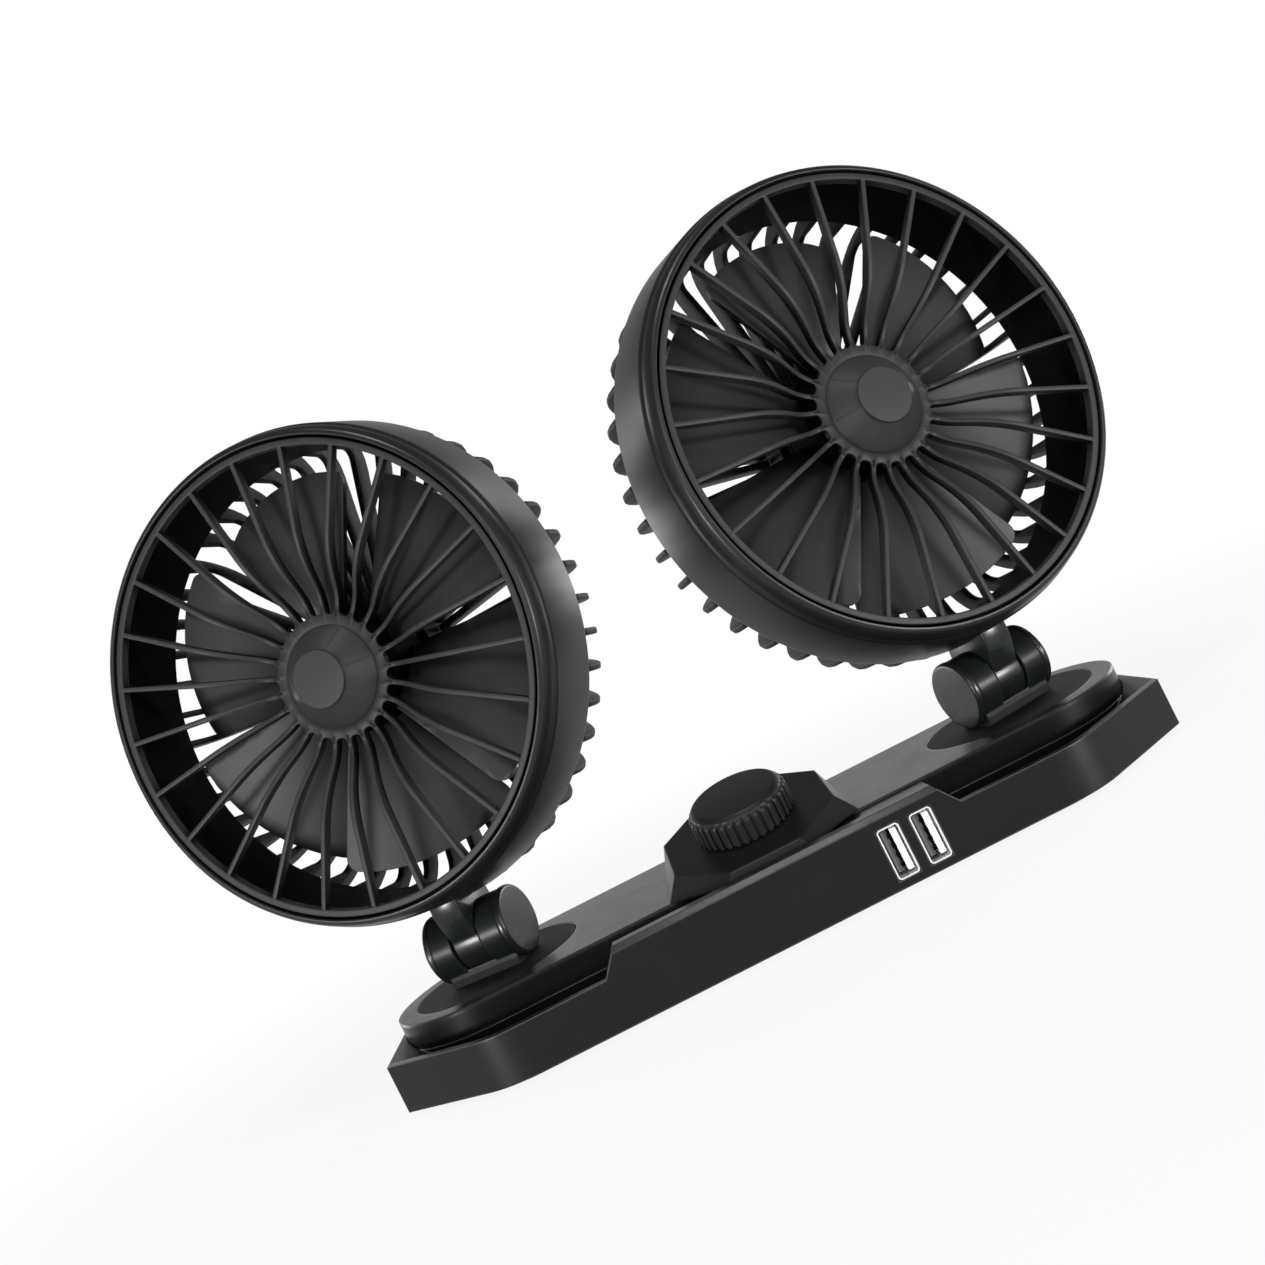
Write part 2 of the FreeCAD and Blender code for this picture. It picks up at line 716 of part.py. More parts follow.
def control_opening():
    """The hole under the control panel, where the rotary control hangs through the platform."""
    drop = panel_height - beam_top
    place = (0, panel_y + drop * tangent(dim.panel_lean), beam_top - dim.beam_skin - 1)
    return cylinder(control_room, dim.beam_skin + 2, place)


def beam_cover():
    skin = beam_top - dim.beam_skin
    shell = cut(
        stadium(beam_radius, dim.seat_height, beam_top),
        stadium(beam_radius - dim.beam_wall, below, skin),
    )
    under = well_bottom - dim.well_floor
    spot = disc_well + dim.well_wall
    extra = [cylinder(spot, beam_top - under, (side * axis_x, axis_y, under)) for side in (-1, 1)]
    extra += [
        cylinder(boss_radius, beam_top - dim.seat_height, (x, y, dim.seat_height))
        for x, y in boss_places()
    ]
    shell = fuse(shell, *extra)
    for side in (-1, 1):
        well = cylinder(disc_well, above, (side * axis_x, axis_y, well_bottom))
        bore = cylinder(dim.spigot_radius + dim.running_play, above, (side * axis_x, axis_y, 0))
        shell = cut(shell, well, bore)
    grip = dim.screw_grip + 1
    holes = [cylinder(screw_bore, grip, (x, y, dim.seat_height - 1)) for x, y in boss_places()]
    return cut(shell, control_opening(), *holes)


def bottom_plate():
    plate = prism(base_plan(dim.wall + dim.plate_play), dim.pad_thickness, plate_top)
    head = dim.screw_head + dim.screw_play
    sunk = dim.pad_thickness + dim.screw_head_height
    for x, y in boss_places():
        plate = cut(plate, cylinder(screw_bore, above, (x, y, 0)), cylinder(head, sunk, (x, y, 0)))
    return plate


def grip_pad():
    return prism(base_plan(dim.wall + dim.plate_play + dim.pad_inset), 0, dim.pad_thickness)


def screw(x, y, low, length):
    """A screw standing on its head."""
    head = cylinder(dim.screw_head, dim.screw_head_height, (x, y, low))
    return fuse(head, cylinder(dim.screw_radius, length, (x, y, low)))


def base_screws():
    length = dim.seat_height + dim.screw_grip - dim.pad_thickness - dim.screw_spare
    return group(*[screw(x, y, dim.pad_thickness, length) for x, y in boss_places()])


node("base_tray", base_tray())
node("beam_cover", beam_cover())
node("bottom_plate", bottom_plate())
node("grip_pad", grip_pad())
node("base_screws", base_screws())


# Controls: leaning eight-sided housing, rotary control, knob and knob shaft.
def octagon(half_x, half_y, middle_y=0):
    """Eight corners of an octagon in its own plane."""
    side_x, side_y = half_x * EIGHTH, half_y * EIGHTH
    quarter = [(side_x, half_y), (half_x, side_y)]
    right = [(x, -y) for x, y in quarter] + [(x, y) for x, y in reversed(quarter)]
    points = right + [(-x, y) for x, y in reversed(right)]
    return [(x, middle_y + y) for x, y in points]


def lean_bar(radius, start, length):
    """A bar along the panel's axis, from start above the panel's face."""
    base = (0, panel_y - start * sine(dim.panel_lean), panel_height + start * cosine(dim.panel_lean))
    return cylinder(radius, length, base, "lean", dim.panel_lean)


def control_housing():
    back = panel_y + dim.housing_run
    half = (back - housing_front) / 2
    body = new_body("housing")
    foot = outline(
        new_sketch(body, "XY_Plane", lift=beam_top),
        octagon(dim.panel_half + dim.housing_flare, half, housing_front + half),
    )
    top = outline(
        new_sketch(body, "XY_Plane", lift=panel_height, lean=dim.panel_lean, base_y=panel_y),
        octagon(dim.panel_half, dim.panel_half),
    )
    loft = body.newObject("PartDesign::AdditiveLoft", "housing_loft")
    loft.Profile = foot
    loft.Sections = [top]
    loft.Ruled = True
    doc.recompute()
    hollow = lean_bar(control_room, -dim.panel_skin - panel_height, panel_height)
    bore = lean_bar(dim.bush_radius + dim.running_play, -dim.panel_skin - 1, dim.panel_skin + 2)
    return cut(body, hollow, bore)


def rotary_control():
    low = dim.panel_skin + dim.control_length
    can = fuse(
        lean_bar(dim.control_radius, -low, dim.control_length),
        lean_bar(dim.bush_radius, -low, low + dim.bush_proud),
    )
    low = dim.panel_skin + dim.shaft_depth + dim.shaft_spare
    return cut(can, lean_bar(dim.shaft_radius + dim.running_play, -low, above))


def knob_frame(item):
    """Puts a piece that is modelled about Z onto the panel, at its middle."""
    return put(item, (0, panel_y, panel_height), (0, 0, dim.panel_lean))


def speed_knob():
    body = new_body("knob")
    top = dim.knob_gap + dim.knob_height
    sketch = new_sketch(body, "XZ_Plane")
    outline(
        sketch,
        [
            (0, dim.knob_gap),
            (dim.knob_radius, dim.knob_gap),
            (dim.knob_radius, top - dim.knob_crown),
            (dim.knob_radius - dim.knob_crown, top),
            (0, top),
        ],
    )
    turned = body.newObject("PartDesign::Revolution", "knob_turned")
    turned.Profile = sketch
    turned.ReferenceAxis = (sketch, ["V_Axis"])
    turned.Angle = 360
    doc.recompute()
    ridge = new_sketch(body, "XZ_Plane")
    inside = dim.knob_radius - dim.ridge_height
    outside = dim.knob_radius + dim.ridge_height
    outline(
        ridge,
        [
            (inside, dim.knob_gap),
            (outside, dim.knob_gap),
            (outside, top - dim.knob_crown - dim.ridge_height),
            (dim.knob_radius - dim.knob_crown, top - dim.knob_crown / 2),
            (inside - dim.knob_crown, top - dim.knob_crown / 2),
        ],
    )
    repeat(body, pad(body, ridge, dim.ridge_width, both_ways=True), dim.ridge_count, "Z_Axis")
    hollow = cylinder(dim.knob_hollow, dim.knob_hollow_depth + 1, (0, 0, dim.knob_gap - 1))
    bore = cylinder(dim.shaft_radius + dim.screw_play / 2, top - dim.knob_skin, (0, 0, 0))
    return knob_frame(cut(body, hollow, bore))


def control_shaft():
    low = dim.panel_skin + dim.shaft_depth
    high = dim.knob_gap + dim.knob_height - dim.knob_skin - dim.shaft_spare
    return lean_bar(dim.shaft_radius, -low, low + high)


node("control_housing", control_housing())
node("rotary_control", rotary_control())
node("speed_knob", speed_knob())
node("control_shaft", control_shaft())


# Sockets, circuit board and cable inlet.
def usb_shell(middle):
    half, tall = dim.usb_width / 2, dim.usb_height / 2

    def tube(inset, start, end):
        body = new_body("tube")
        sketch = new_sketch(body, "XZ_Plane", lift=-start)
        rounding = dim.usb_round - inset
        low, high = usb_middle - tall + inset, usb_middle + tall - inset
        left, right = middle - half + inset, middle + half - inset
        corners = [(left, low), (right, low), (right, high), (left, high)]
        outline(sketch, [(x, z, rounding) for x, z in corners])
        pad(body, sketch, end - start, reverse=True)
        return body

    return cut(tube(as_size(0), base_front, usb_back), tube(dim.usb_skin, base_front - 1, usb_back + 1))


def tongue_side(middle):
    """The face of the tongue that carries the contacts."""
    return middle + dim.usb_width / 2 - dim.usb_skin - dim.tongue_side - dim.tongue_width


def usb_tongue(middle):
    inside = dim.usb_width / 2 - dim.usb_skin - dim.tongue_side
    tall = dim.usb_height / 2 - dim.usb_skin - dim.tongue_gap
    front = usb_back - dim.tongue_root
    low, high = usb_middle - tall, usb_middle + tall
    root = box((middle - inside, front, low), (middle + inside, usb_back, high))
    face = tongue_side(middle)
    start = front + 1 - dim.tongue_length
    blade = box((face, start, low), (face + dim.tongue_width, front + 1, high))
    return fuse(root, blade)


def usb_contacts():
    strips = []
    root = usb_back - dim.tongue_root
    half = dim.contact_width / 2
    for middle in socket_places().values():
        face = tongue_side(middle)
        for step in (-1.5, -0.5, 0.5, 1.5):
            height = usb_middle + step * dim.contact_pitch
            low = (face - dim.contact_thickness, root - dim.contact_length, height - half)
            strips.append(box(low, (face, root, height + half)))
    return group(*strips)


def circuit_board():
    edge = dim.bay_half - dim.wall - dim.seat_play
    tall = usb_middle - plate_top - dim.board_clear
    return box(
        (edge - dim.board_width, usb_back, usb_middle - tall),
        (edge, usb_back + dim.board_thickness, usb_middle + tall),
    )


def cable_inlet():
    """A ring with two flanges in the back wall."""
    start = axis_y + beam_radius - dim.seat_ledge - dim.inlet_lip
    place = (0, start, inlet_height)
    length = base_back + dim.inlet_lip - start
    gland = fuse(
        cylinder(inlet_neck, length, place, "Y"),
        cylinder(inlet_flange, dim.inlet_lip, place, "Y"),
        cylinder(inlet_flange, dim.inlet_lip, (0, base_back, inlet_height), "Y"),
    )
    return cut(gland, cylinder(dim.inlet_bore, length + 2, (0, start - 1, inlet_height), "Y"))


for name, middle in socket_places().items():
    node("usb_shell_" + name, usb_shell(middle))
    node("usb_tongue_" + name, usb_tongue(middle))
node("usb_contacts", usb_contacts())
node("circuit_board", circuit_board())
node("cable_inlet", cable_inlet())


# Left swivel: disc with its two ears, retaining washer and screw, hinge bolt, nut, washers and caps.
def on_swivel(item):
    """Puts a piece that is modelled about the hinge's own axis onto the left swivel."""
    return put(item, (-axis_x, axis_y, hinge_height), (-dim.head_yaw, 0, 0))


def turntable():
    disc = cylinder(dim.disc_radius, dim.disc_thickness, (0, 0, disc_under))
    spigot = cylinder(dim.spigot_radius, disc_top - spigot_end, (0, 0, spigot_end))
    waist = ear_radius - dim.ear_waist
    saddle = box((-ear_outside, -waist, disc_under), (ear_outside, waist, -dim.saddle_drop))
    solids = [disc, spigot, saddle]
    for start in (-ear_outside, ear_inside):
        solids.append(cylinder(ear_radius, dim.ear_width, (start, 0, 0), "X"))
        solids.append(box((start, -waist, disc_under), (start + dim.ear_width, waist, 0)))
    yoke = fuse(*solids)
    gap = cylinder(knuckle_radius + dim.saddle_gap, ear_inside * 2, (-ear_inside, 0, 0), "X")
    pin = cylinder(pin_bore, ear_outside * 2, (-ear_outside, 0, 0), "X")
    pockets = [
        cylinder(ear_pocket, pocket_depth + 1, (start, 0, 0), "X")
        for start in (-ear_outside - 1, pocket_floor)
    ]
    thread = cylinder(screw_bore, thread_end - spigot_end + 1, (0, 0, spigot_end - 1))
    return cut(yoke, gap, pin, *pockets, thread)


def retaining_washer():
    low = spigot_end - dim.washer_thickness
    disc = cylinder(dim.spigot_radius + dim.washer_lip, dim.washer_thickness, (0, 0, low))
    return cut(disc, cylinder(screw_bore, dim.washer_thickness + 2, (0, 0, low - 1)))


def retaining_screw():
    low = spigot_end - dim.washer_thickness - dim.screw_head_height
    return screw(0, 0, low, thread_end - low - dim.screw_spare)


def hinge_bolt():
    start = -pocket_floor - dim.pin_head_height
    shank = cylinder(dim.pin_radius, pocket_floor - start, (start, 0, 0), "X")
    head = cylinder(pin_head, dim.pin_head_height, (pocket_floor, 0, 0), "X")
    return fuse(shank, head)


def hinge_nut():
    body = new_body("nut")
    flat = pin_head * math.cos(math.pi / 6)
    half = pin_head / 2
    corners = [(pin_head, 0), (half, flat), (-half, flat), (-pin_head, 0), (-half, -flat), (half, -flat)]
    sketch = outline(new_sketch(body, "YZ_Plane", lift=-pocket_floor - dim.pin_head_height), corners)
    pad(body, sketch, dim.pin_head_height)
    bore = cylinder(dim.pin_radius + dim.screw_play, ear_outside, (-ear_outside, 0, 0), "X")
    return cut(body, bore)


def hinge_cap(side):
    """An end cap: bevelled disc with a short spigot, turned about X."""
    straight = dim.cap_thickness - dim.cap_bevel
    crown = dim.cap_radius - dim.cap_bevel
    cap = fuse(
        cylinder(dim.cap_radius, straight, (ear_outside, 0, 0), "X"),
        cone(dim.cap_radius, crown, dim.cap_bevel, (ear_outside + straight, 0, 0), "X"),
        cylinder(ear_pocket - dim.screw_play, dim.cap_spigot, (ear_outside - dim.cap_spigot, 0, 0), "X"),
    )
    return cap if side > 0 else put(cap, (0, 0, 0), (180, 0, 0))


def friction_washers():
    rings = []
    for start in (-ear_inside, ear_inside - dim.friction_washer):
        disc = cylinder(knuckle_radius - dim.friction_drop, dim.friction_washer, (start, 0, 0), "X")
        hole = cylinder(pin_bore, dim.friction_washer + 2, (start - 1, 0, 0), "X")
        rings.append(cut(disc, hole))
    return group(*rings)


node("left_turntable", on_swivel(turntable()))
node("left_retaining_washer", on_swivel(retaining_washer()))
node("left_retaining_screw", on_swivel(retaining_screw()))
node("left_hinge_bolt", on_swivel(hinge_bolt()))
node("left_hinge_nut", on_swivel(hinge_nut()))
node("left_hinge_caps", on_swivel(group(hinge_cap(-1), hinge_cap(1))))
node("left_friction_washers", on_swivel(friction_washers()))


# Left head: neck, shroud, grille, badge, guard, motor and impeller.
def on_hinge(item):
    """Puts a piece that is modelled about the hinge axis onto the tilted head."""
    return put(item, (-axis_x, axis_y, hinge_height), (-dim.head_yaw, 0, -dim.head_tilt))


def on_head(item):
    """Puts a piece that is modelled about the head's axis, front face at Y = 0, onto the tilted head."""
    ahead = head_rise * sine(dim.head_tilt) - dim.front_reach * cosine(dim.head_tilt)
    above = head_rise * cosine(dim.head_tilt) + dim.front_reach * sine(dim.head_tilt)
    base = (
        ahead * sine(dim.head_yaw) - axis_x,
        axis_y + ahead * cosine(dim.head_yaw),
        hinge_height + above,
    )
    return put(item, base, (-dim.head_yaw, 0, -dim.head_tilt))


shroud_back = [
    (ring_face, 0),
    (dim.ring_radius, dim.ring_bevel),
    (dim.ring_radius, dim.ring_band),
    (shroud_radius, shroud_swell, dim.shroud_round),
    (shroud_radius, dim.shroud_depth - dim.shroud_edge),
    (shroud_radius - dim.shroud_edge, dim.shroud_depth),
]


def shroud_outside():
    """The shroud as a solid plug, with a straight plug behind it that clears the fins."""
    body = new_body("plug")
    spin(body, [(0, 0), *shroud_back, (flange_radius, dim.shroud_depth), (0, dim.shroud_depth)])
    start = dim.shroud_depth - dim.shroud_edge
    return fuse(body, cylinder(shroud_radius, cup_back - start, (0, start, 0), "Y"))


def shroud():
    body = new_body("shroud")
    spin(
        body,
        [
            *shroud_back,
            (flange_radius, dim.shroud_depth),
            (flange_radius, dim.shroud_depth - dim.flange_thickness * 2),
            (shroud_radius - dim.shroud_wall, shroud_swell),
            (dim.ring_radius - dim.shroud_wall, dim.ring_band),
            (ring_mouth, dim.ring_bevel),
            (ring_mouth, 0),
        ],
    )
    seats = neck_screw_heads(dim.neck_screw_head + dim.screw_play, dim.shroud_wall * 2)
    return cut(body, *neck_screw_bars(screw_bore), *seats)


def neck_screw_bars(radius, ahead=0, up=0):
    """Two bars from the screws' seats in the shroud into the neck, in the head's frame or shifted."""
    length = head_rise - neck_seat - dim.neck_screw_end
    place = (neck_screw_depth - ahead, up - neck_seat - length)
    return [cylinder(radius, length, (side * dim.neck_screw_spread, *place)) for side in (-1, 1)]


def neck_screw_heads(radius, height):
    """Two short bars that stand on the screws' seats."""
    place = (neck_screw_depth, -neck_seat)
    return [cylinder(radius, height, (side * dim.neck_screw_spread, *place)) for side in (-1, 1)]


def neck():
    half = dim.knuckle_width / 2
    knuckle = cylinder(knuckle_radius, dim.knuckle_width, (-half, 0, 0), "X")
    waist = knuckle_radius - dim.neck_waist
    top = head_rise - ring_mouth
    stem = prism_along_x(
        [
            (-waist, dim.neck_spring),
            (-dim.neck_front, dim.neck_shoulder),
            (-dim.neck_front, top),
            (dim.neck_back, top),
            (waist, dim.neck_spring),
        ],
        half,
    )
    bore = cylinder(pin_bore, dim.knuckle_width + 2, (-half - 1, 0, 0), "X")
    plug = put(shroud_outside(), (0, -dim.front_reach, head_rise))
    bars = neck_screw_bars(screw_bore, dim.front_reach, head_rise)
    return cut(fuse(knuckle, stem), bore, plug, *bars)


def neck_screws():
    heads = neck_screw_heads(dim.neck_screw_head, dim.screw_head_height)
    return group(*[fuse(head, bar) for head, bar in zip(heads, neck_screw_bars(dim.screw_radius))])


def grille():
    body = new_body("grille")
    front = dim.grille_front
    spin(body, ring(grille_inner, grille_outer, front, front + dim.grille_rim_depth))
    middle = (grille_inner + grille_outer) / 2
    foot = dim.hub_radius - dim.hub_wall / 4
    dip = dim.hub_radius + dim.spoke_dip
    fall = front + dim.spoke_fall
    spoke = outline(
        new_sketch(body, "XY_Plane"),
        [
            (foot, dim.hub_front),
            (dip, fall, dim.spoke_bend),
            (middle, front),
            (middle, front + dim.grille_rim_depth),
            (dip, fall + dim.spoke_depth, dim.spoke_bend),
            (foot, hub_back),
        ],
    )
    repeat(body, pad(body, spoke, dim.spoke_width, both_ways=True), dim.spoke_count)
    spin(body, ring(hub_bore, dim.hub_radius, dim.hub_front, hub_back))
    return body


def hub_badge():
    body = new_body("badge")
    edge = hub_bore - dim.badge_play
    front = dim.hub_front - dim.badge_rise
    spin(
        body,
        [
            (0, front),
            (dim.badge_button, front),
            (dim.badge_button, front + dim.badge_rim),
            (edge, dim.hub_front),
            (edge, hub_back),
            (0, hub_back),
        ],
    )
    return body


def rear_guard():
    body = new_body("guard")
    flange_front = dim.shroud_depth - dim.flange_thickness
    spin(
        body,
        [
            (duct_inner, dim.duct_front),
            (duct_outer, dim.duct_front),
            (duct_outer, flange_front),
            (flange_radius - dim.flange_play, flange_front),
            (flange_radius - dim.flange_play, dim.shroud_depth),
            (duct_inner, dim.shroud_depth),
        ],
    )
    step = dim.shroud_depth + dim.fin_gap
    root = duct_inner + dim.duct_wall / 4
    foot = dim.cup_radius - dim.cup_wall / 2
    fin = outline(
        new_sketch(body, "XY_Plane"),
        [
            (root, flange_front),
            (flange_radius - dim.flange_play, flange_front),
            (flange_radius - dim.flange_play, step),
            (fin_radius, step),
            (fin_radius, fin_corner, dim.fin_round),
            (foot, motor_back),
            (foot, motor_back - dim.fin_height),
            (root, fin_corner - dim.fin_height, dim.fin_inner_round),
        ],
    )
    repeat(body, pad(body, fin, dim.fin_thickness, both_ways=True), dim.fin_count)
    inner = dim.cup_radius - dim.cup_wall
    spin(
        body,
        [
            (0, motor_back),
            (inner, motor_back),
            (inner, motor_front),
            (dim.cup_radius, motor_front),
            (dim.cup_radius, cup_back),
            (0, cup_back),
        ],
    )
    return body


def motor_can():
    body = new_body("motor")
    inside = motor_radius - dim.motor_skin
    front = motor_front + dim.motor_bush_length
    back = motor_back - dim.motor_bush_length
    spin(
        body,
        [
            (dim.motor_bush, motor_front),
            (motor_radius, motor_front),
            (motor_radius, motor_back),
            (dim.motor_bush, motor_back),
            (dim.motor_bush, back),
            (inside, back),
            (inside, front),
            (dim.motor_bush, front),
        ],
    )
    return body


def motor_bushes():
    rings = []
    for start in (motor_front, motor_back - dim.motor_bush_length):
        body = new_body("bush")
        bore = dim.axle_radius + dim.running_play
        outer = dim.motor_bush - dim.running_play / 2
        spin(body, ring(bore, outer, start, start + dim.motor_bush_length))
        rings.append(body)
    return group(*rings)


def motor_rotor():
    body = new_body("rotor")
    middle = (motor_front + motor_back) / 2
    half = dim.rotor_length / 2
    spin(body, ring(axle_bore, dim.rotor_radius, middle - half, middle + half))
    return body


def motor_shaft():
    body = new_body("axle")
    spin(body, ring(0, dim.axle_radius, fan_front + dim.fan_skin, motor_back - dim.axle_spare))
    return body


def impeller():
    body = new_body("impeller")
    wall = dim.fan_hub - dim.fan_skin
    front = fan_front + dim.fan_skin
    spin(
        body,
        [
            (0, fan_front),
            (dim.fan_hub, fan_front, dim.fan_round),
            (dim.fan_hub, fan_back),
            (wall, fan_back),
            (wall, front),
            (dim.fan_boss, front),
            (dim.fan_boss, fan_back),
            (axle_bore, fan_back),
            (axle_bore, front),
            (0, front),
        ],
    )
    middle = (fan_front + fan_back) / 2
    sections = []
    for radius, half, rise in (
        (dim.fan_hub - dim.blade_sink, dim.blade_root_half, dim.blade_root_rise),
        (blade_radius, dim.blade_tip_half, dim.blade_tip_rise),
    ):
        thick = dim.blade_thickness / 2
        sections.append(
            outline(
                new_sketch(body, "YZ_Plane", lift=radius),
                [
                    (middle - rise - thick, -half),
                    (middle - rise + thick, -half),
                    (middle + rise + thick, half),
                    (middle + rise - thick, half),
                ],
            )
        )
    blade = body.newObject("PartDesign::AdditiveLoft", "blade")
    blade.Profile = sections[0]
    blade.Sections = [sections[1]]
    blade.Ruled = True
    doc.recompute()
    repeat(body, blade, dim.blade_count)
    turned = put(body, (0, 0, 0), (0, as_size(180) / dim.blade_count, 0))
    return common(turned, cylinder(blade_radius, fan_back, (0, fan_front - 1, 0), "Y"))


node("left_neck", on_hinge(neck()))
node("left_neck_screws", on_head(neck_screws()))
node("left_shroud", on_head(shroud()))
node("left_grille", on_head(grille()))
node("left_hub_badge", on_head(hub_badge()))
node("left_rear_guard", on_head(rear_guard()))
node("left_motor_can", on_head(motor_can()))
node("left_motor_bushes", on_head(motor_bushes()))
node("left_impeller", on_head(impeller()))
node("left_motor_shaft", on_head(motor_shaft()))
node("left_motor_rotor", on_head(motor_rotor()))


# Right side: the mirror image of the left.
for label in [name for name in nodes if name.startswith("left_")]:
    twin = doc.addObject("Part::Mirroring", "twin")
    twin.Source = nodes[label]
    twin.Normal = FreeCAD.Vector(1, 0, 0)
    node(label.replace("left_", "right_"), twin)

doc.recompute()
failed = [item.Label for item in doc.Objects if "Invalid" in item.State or "Error" in item.State]
if failed:
    raise RuntimeError("these did not build: " + ", ".join(failed))
for label, item in nodes.items():
    if item.Shape.isNull() or not item.Shape.isValid() or not item.Shape.Solids:
        raise RuntimeError("no sound solid: " + label)
os.makedirs("parts", exist_ok=True)
for label, item in nodes.items():
    item.Shape.exportStep("parts/%s.step" % label)
    print("%-26s %2d solids %10.1f mm3" % (label, len(item.Shape.Solids), item.Shape.Volume))
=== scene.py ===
"""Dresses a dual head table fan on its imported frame: turned heads, moulded base and a plain studio."""

import json
import logging
import math
from dataclasses import dataclass, replace
from enum import Enum
from typing import Optional, Sequence, Union

import bmesh
import bpy
from mathutils import Matrix, Vector


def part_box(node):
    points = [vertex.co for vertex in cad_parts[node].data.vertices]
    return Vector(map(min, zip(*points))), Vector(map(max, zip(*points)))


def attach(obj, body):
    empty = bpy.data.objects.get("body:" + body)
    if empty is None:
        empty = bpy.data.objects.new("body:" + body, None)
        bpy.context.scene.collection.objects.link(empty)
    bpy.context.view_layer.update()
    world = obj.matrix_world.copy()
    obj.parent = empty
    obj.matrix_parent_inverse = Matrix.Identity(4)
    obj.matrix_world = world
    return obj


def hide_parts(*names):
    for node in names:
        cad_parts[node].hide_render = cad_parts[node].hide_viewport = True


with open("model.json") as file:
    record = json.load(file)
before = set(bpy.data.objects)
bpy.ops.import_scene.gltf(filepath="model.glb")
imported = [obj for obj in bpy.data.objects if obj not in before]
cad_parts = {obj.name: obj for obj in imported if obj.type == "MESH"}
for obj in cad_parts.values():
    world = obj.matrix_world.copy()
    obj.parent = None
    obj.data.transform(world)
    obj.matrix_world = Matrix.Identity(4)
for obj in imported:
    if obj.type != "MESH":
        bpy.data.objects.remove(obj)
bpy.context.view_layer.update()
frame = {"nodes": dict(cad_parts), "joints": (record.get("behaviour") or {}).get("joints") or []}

log = logging.getLogger("fan")
MM = 0.001
TAU = 2.0 * math.pi

# Tolerances in millimetres: points that coincide, and points that meet at a seam.
NEAR = 1e-4
SEAM = 1e-3

# Faces round turned bodies of three sizes, round a corner and across an edge.
STEPS_LARGE = 192
STEPS = 144
STEPS_SMALL = 96
CORNER_STEPS = 6
EDGE_STEPS = 2

# Angles in degrees from which an edge is rounded, and from which it is shaded as a crease.
SHARP_ANGLE = 50.0
SMOOTH_ANGLE = 38.0

# Surface of every finish: faint clouds, fine grain, a painted highlight along the edges and painted shade
# in hollows.
CLOUD_WIDTH = 14.0
CLOUD_SHARE = 0.5
CLOUD_TINT = 1.35
GRAIN_SHARE = 0.6
NOISE_DETAIL = 3.0
LEAST_ROUGH = 0.05
EDGE_HIGHLIGHT_GAIN = 3.0
HOLLOW_SHADE = 0.04
BUMP_STRENGTH = 0.6

# A turned body laid along X, a flat face turned to the front, and a plate seen from the side.
SIDEWAYS = Matrix.Rotation(-math.pi / 2.0, 4, "Z")
FACING = Matrix.Rotation(math.pi / 2.0, 4, "X")
UPRIGHT = Matrix.Rotation(math.pi / 2.0, 4, "Z") @ FACING

Pair = tuple[float, float]
Triple = tuple[float, float, float]
Colour = Triple
Corner = Union[Pair, Triple]
Value = Union["Signal", float]


class Side(Enum):
    """The two halves of the fan; the right one mirrors the left."""

    LEFT = "left"
    RIGHT = "right"


class Signal:
    """A number, colour or vector that varies over a surface, with arithmetic on numbers."""

    def __init__(self, graph: "Graph", socket: Optional[bpy.types.NodeSocket]) -> None:
        """Keep the graph and the output socket that carries the value."""
        self.graph = graph
        self.socket = socket

    def _math(self, operation: str, first: Value, second: Value) -> "Signal":
        """Add one Math node and return its result."""
        return self.graph.node("ShaderNodeMath", {"operation": operation}, {0: first, 1: second})

    def __add__(self, other: Value) -> "Signal":
        """Sum."""
        return self._math("ADD", self, other)

    def __radd__(self, other: float) -> "Signal":
        """Sum with a plain number first."""
        return self._math("ADD", other, self)

    def __sub__(self, other: Value) -> "Signal":
        """Difference."""
        return self._math("SUBTRACT", self, other)

    def __rsub__(self, other: float) -> "Signal":
        """Difference from a plain number."""
        return self._math("SUBTRACT", other, self)

    def __mul__(self, other: Value) -> "Signal":
        """Product."""
        return self._math("MULTIPLY", self, other)

    def __rmul__(self, other: float) -> "Signal":
        """Product with a plain number first."""
        return self._math("MULTIPLY", other, self)

    def __pow__(self, power: float) -> "Signal":
        """Power."""
        return self._math("POWER", self, power)

    def __gt__(self, level: float) -> "Signal":
        """One where the value is above a level, else nought."""
        return self._math("GREATER_THAN", self, level)

    def at_most(self, other: Value) -> "Signal":
        """The smaller of two values."""
        return self._math("MINIMUM", self, other)

    def at_least(self, other: Value) -> "Signal":
        """The larger of two values."""
        return self._math("MAXIMUM", self, other)


